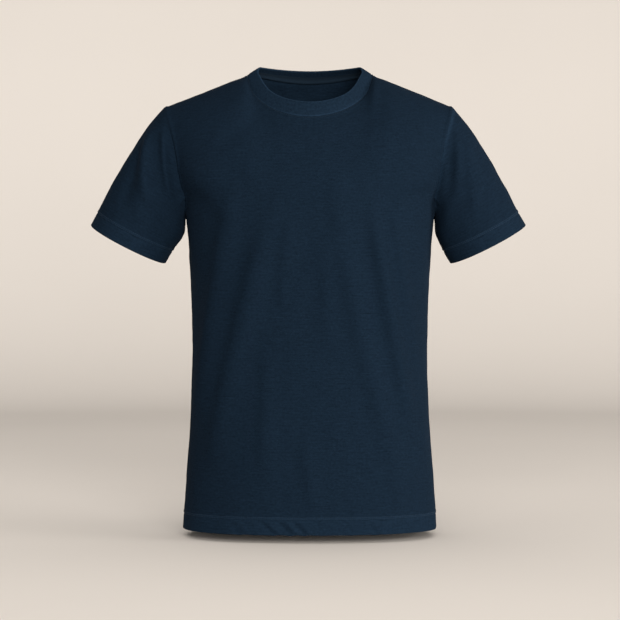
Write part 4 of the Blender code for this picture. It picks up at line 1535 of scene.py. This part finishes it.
class TEE_OT_stitching(bpy.types.Operator):
    """Rows of stitches on the hems, the cuffs and the neck"""

    bl_idname = "tee.stitching"
    bl_label = "Stitching"

    def execute(self, context):
        skin, sizes = shirt_skin(), context.scene.tee_sizes
        both_panels = ("front_panel", "back_panel")
        hemmed = {
            "hem_stitches": both_panels,
            "cuff_stitches_left": ("sleeve_left",),
            "cuff_stitches_right": ("sleeve_right",),
        }
        lines = {}
        for name, pieces in hemmed.items():
            rows = [(piece, below) for piece in pieces for below in HEM_ROWS_BELOW_TOP]
            lines[name] = [along_rows(skin, piece, hem_depth(piece) - below) for piece, below in rows]
        lines["neck_stitches"] = [along_neck(skin, piece, NECK_STITCHES_BELOW) for piece in both_panels]
        for name, found in lines.items():
            place(stitches(name, found, sizes, finishes()["thread"]), "jersey")
        return {"FINISHED"}


class TEE_OT_stage(bpy.types.Operator):
    """Pale floor and sweep, soft lights and the camera"""

    bl_idname = "tee.stage"
    bl_label = "Stage"

    def execute(self, context):
        settings = context.scene.tee_stage
        stage = sweep(floor_finish("pale_floor", settings.floor))
        stage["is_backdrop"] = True
        for name, light in LIGHTS.items():
            lamp = soft_light(name + "_light", light, getattr(settings, name))
            if light.falls_on != "all":
                light_only(lamp, stage, light.falls_on == "stage")
        context.scene.world = surroundings(settings.surroundings)
        context.scene.view_settings.view_transform = "Standard"
        context.scene.camera = front_camera()
        return {"FINISHED"}


def light_only(lamp, stage, on_stage):
    """Keeps the lamp to the stage, or off it."""
    receivers = bpy.data.collections.new(lamp.name + "_falls_on")
    receivers.objects.link(stage)
    linked = receivers.collection_objects[0].light_linking
    linked.link_state = "INCLUDE" if on_stage else "EXCLUDE"
    lamp.light_linking.receiver_collection = receivers


def surroundings(strength):
    world = bpy.data.worlds.new("surroundings")
    world.use_nodes = True
    background = world.node_tree.nodes["Background"]
    background.inputs["Color"].default_value = (1.0, 0.985, 0.96, 1)
    background.inputs["Strength"].default_value = strength
    return world


def front_camera():
    lens = bpy.data.cameras.new("camera")
    lens.lens = CAMERA_LENS
    lens.sensor_width = CAMERA_SENSOR
    lens.sensor_fit = "HORIZONTAL"
    camera = bpy.data.objects.new("camera", lens)
    camera.location = CAMERA_PLACE
    camera.rotation_euler = (np.pi / 2, 0, 0)
    bpy.context.scene.collection.objects.link(camera)
    return camera


def soft_light(name, light, power):
    """A square light that faces the lit place."""
    lamp_data = bpy.data.lights.new(name, "AREA")
    lamp_data.shape = "SQUARE"
    lamp_data.size = light.size
    lamp_data.energy = power
    lamp = bpy.data.objects.new(name, lamp_data)
    bearing, rise_angle = np.radians([light.bearing, light.rise])
    level = np.cos(rise_angle)
    way = Vector((np.sin(bearing) * level, -np.cos(bearing) * level, np.sin(rise_angle)))
    lamp.location = Vector(LIT_PLACE) + way * light.distance
    lamp.rotation_euler = way.to_track_quat("Z", "Y").to_euler()
    bpy.context.scene.collection.objects.link(lamp)
    return lamp


def sweep(material, radius=5.2, bend=1.6, top=3.6, sides=96):
    """A round floor that curves up into a wall on every side."""
    turns = np.linspace(0, np.pi / 2, 13)
    profile = [(share * (radius - bend), 0) for share in (0.05, 0.3, 0.6, 0.85)]
    profile += [(radius - bend + bend * np.sin(t), bend * (1 - np.cos(t))) for t in turns]
    profile.append((radius, top))
    angles = np.arange(sides) * 2 * np.pi / sides
    points = [(0, 0, FLOOR_HEIGHT)]
    for out, up in profile:
        points += [(out * np.cos(a), out * np.sin(a), FLOOR_HEIGHT + up) for a in angles]
    rings = 1 + np.arange(len(profile) * sides).reshape(len(profile), sides)
    rings = np.pad(rings, ((0, 0), (0, 1)), mode="wrap")
    faces = [[0, a, b] for a, b in zip(rings[0, :-1].tolist(), rings[0, 1:].tolist())]
    faces += face_corners(rings, False).tolist()
    thing = mesh_object("floor", points, faces, None, material)
    thing.visible_diffuse = False
    thing.visible_shadow = False
    return thing


OPERATORS = (
    TEE_OT_stage,
    TEE_OT_panels,
    TEE_OT_sleeves,
    TEE_OT_neckband,
    TEE_OT_neck_tape,
    TEE_OT_stitching,
)


class TEE_PT_sidebar(bpy.types.Panel):
    """Lists the steps that dress the shirt, and their sizes."""

    bl_label = "T-shirt"
    bl_idname = "TEE_PT_sidebar"
    bl_space_type = "VIEW_3D"
    bl_region_type = "UI"
    bl_category = "T-shirt"

    def draw(self, context):
        for name in ("tee_sizes", "tee_colours", "tee_stage"):
            box = self.layout.box()
            settings = getattr(context.scene, name)
            for key in type(settings).__annotations__:
                box.prop(settings, key)
        for operator in OPERATORS:
            self.layout.operator(operator.bl_idname)


GROUPS = {"tee_sizes": ClothSizes, "tee_colours": ClothColours, "tee_stage": StageSettings}


def register():
    for name, group in GROUPS.items():
        bpy.utils.register_class(group)
        setattr(bpy.types.Scene, name, bpy.props.PointerProperty(type=group))
    for operator in (*OPERATORS, TEE_PT_sidebar):
        bpy.utils.register_class(operator)


def unregister():
    for operator in (TEE_PT_sidebar, *reversed(OPERATORS)):
        bpy.utils.unregister_class(operator)
    for name, group in GROUPS.items():
        delattr(bpy.types.Scene, name)
        bpy.utils.unregister_class(group)


def main():
    register()
    bpy.ops.tee.stage()
    bpy.ops.tee.panels()
    bpy.ops.tee.sleeves()
    bpy.ops.tee.neckband()
    bpy.ops.tee.neck_tape()
    bpy.ops.tee.stitching()
    boxes = {"cad": CAD_BOX, "visual": [list(corner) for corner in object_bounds()]}
    {name: [[float(v) for v in corner] for corner in box] for name, box in boxes.items()}


if __name__ == "__main__":
    main()
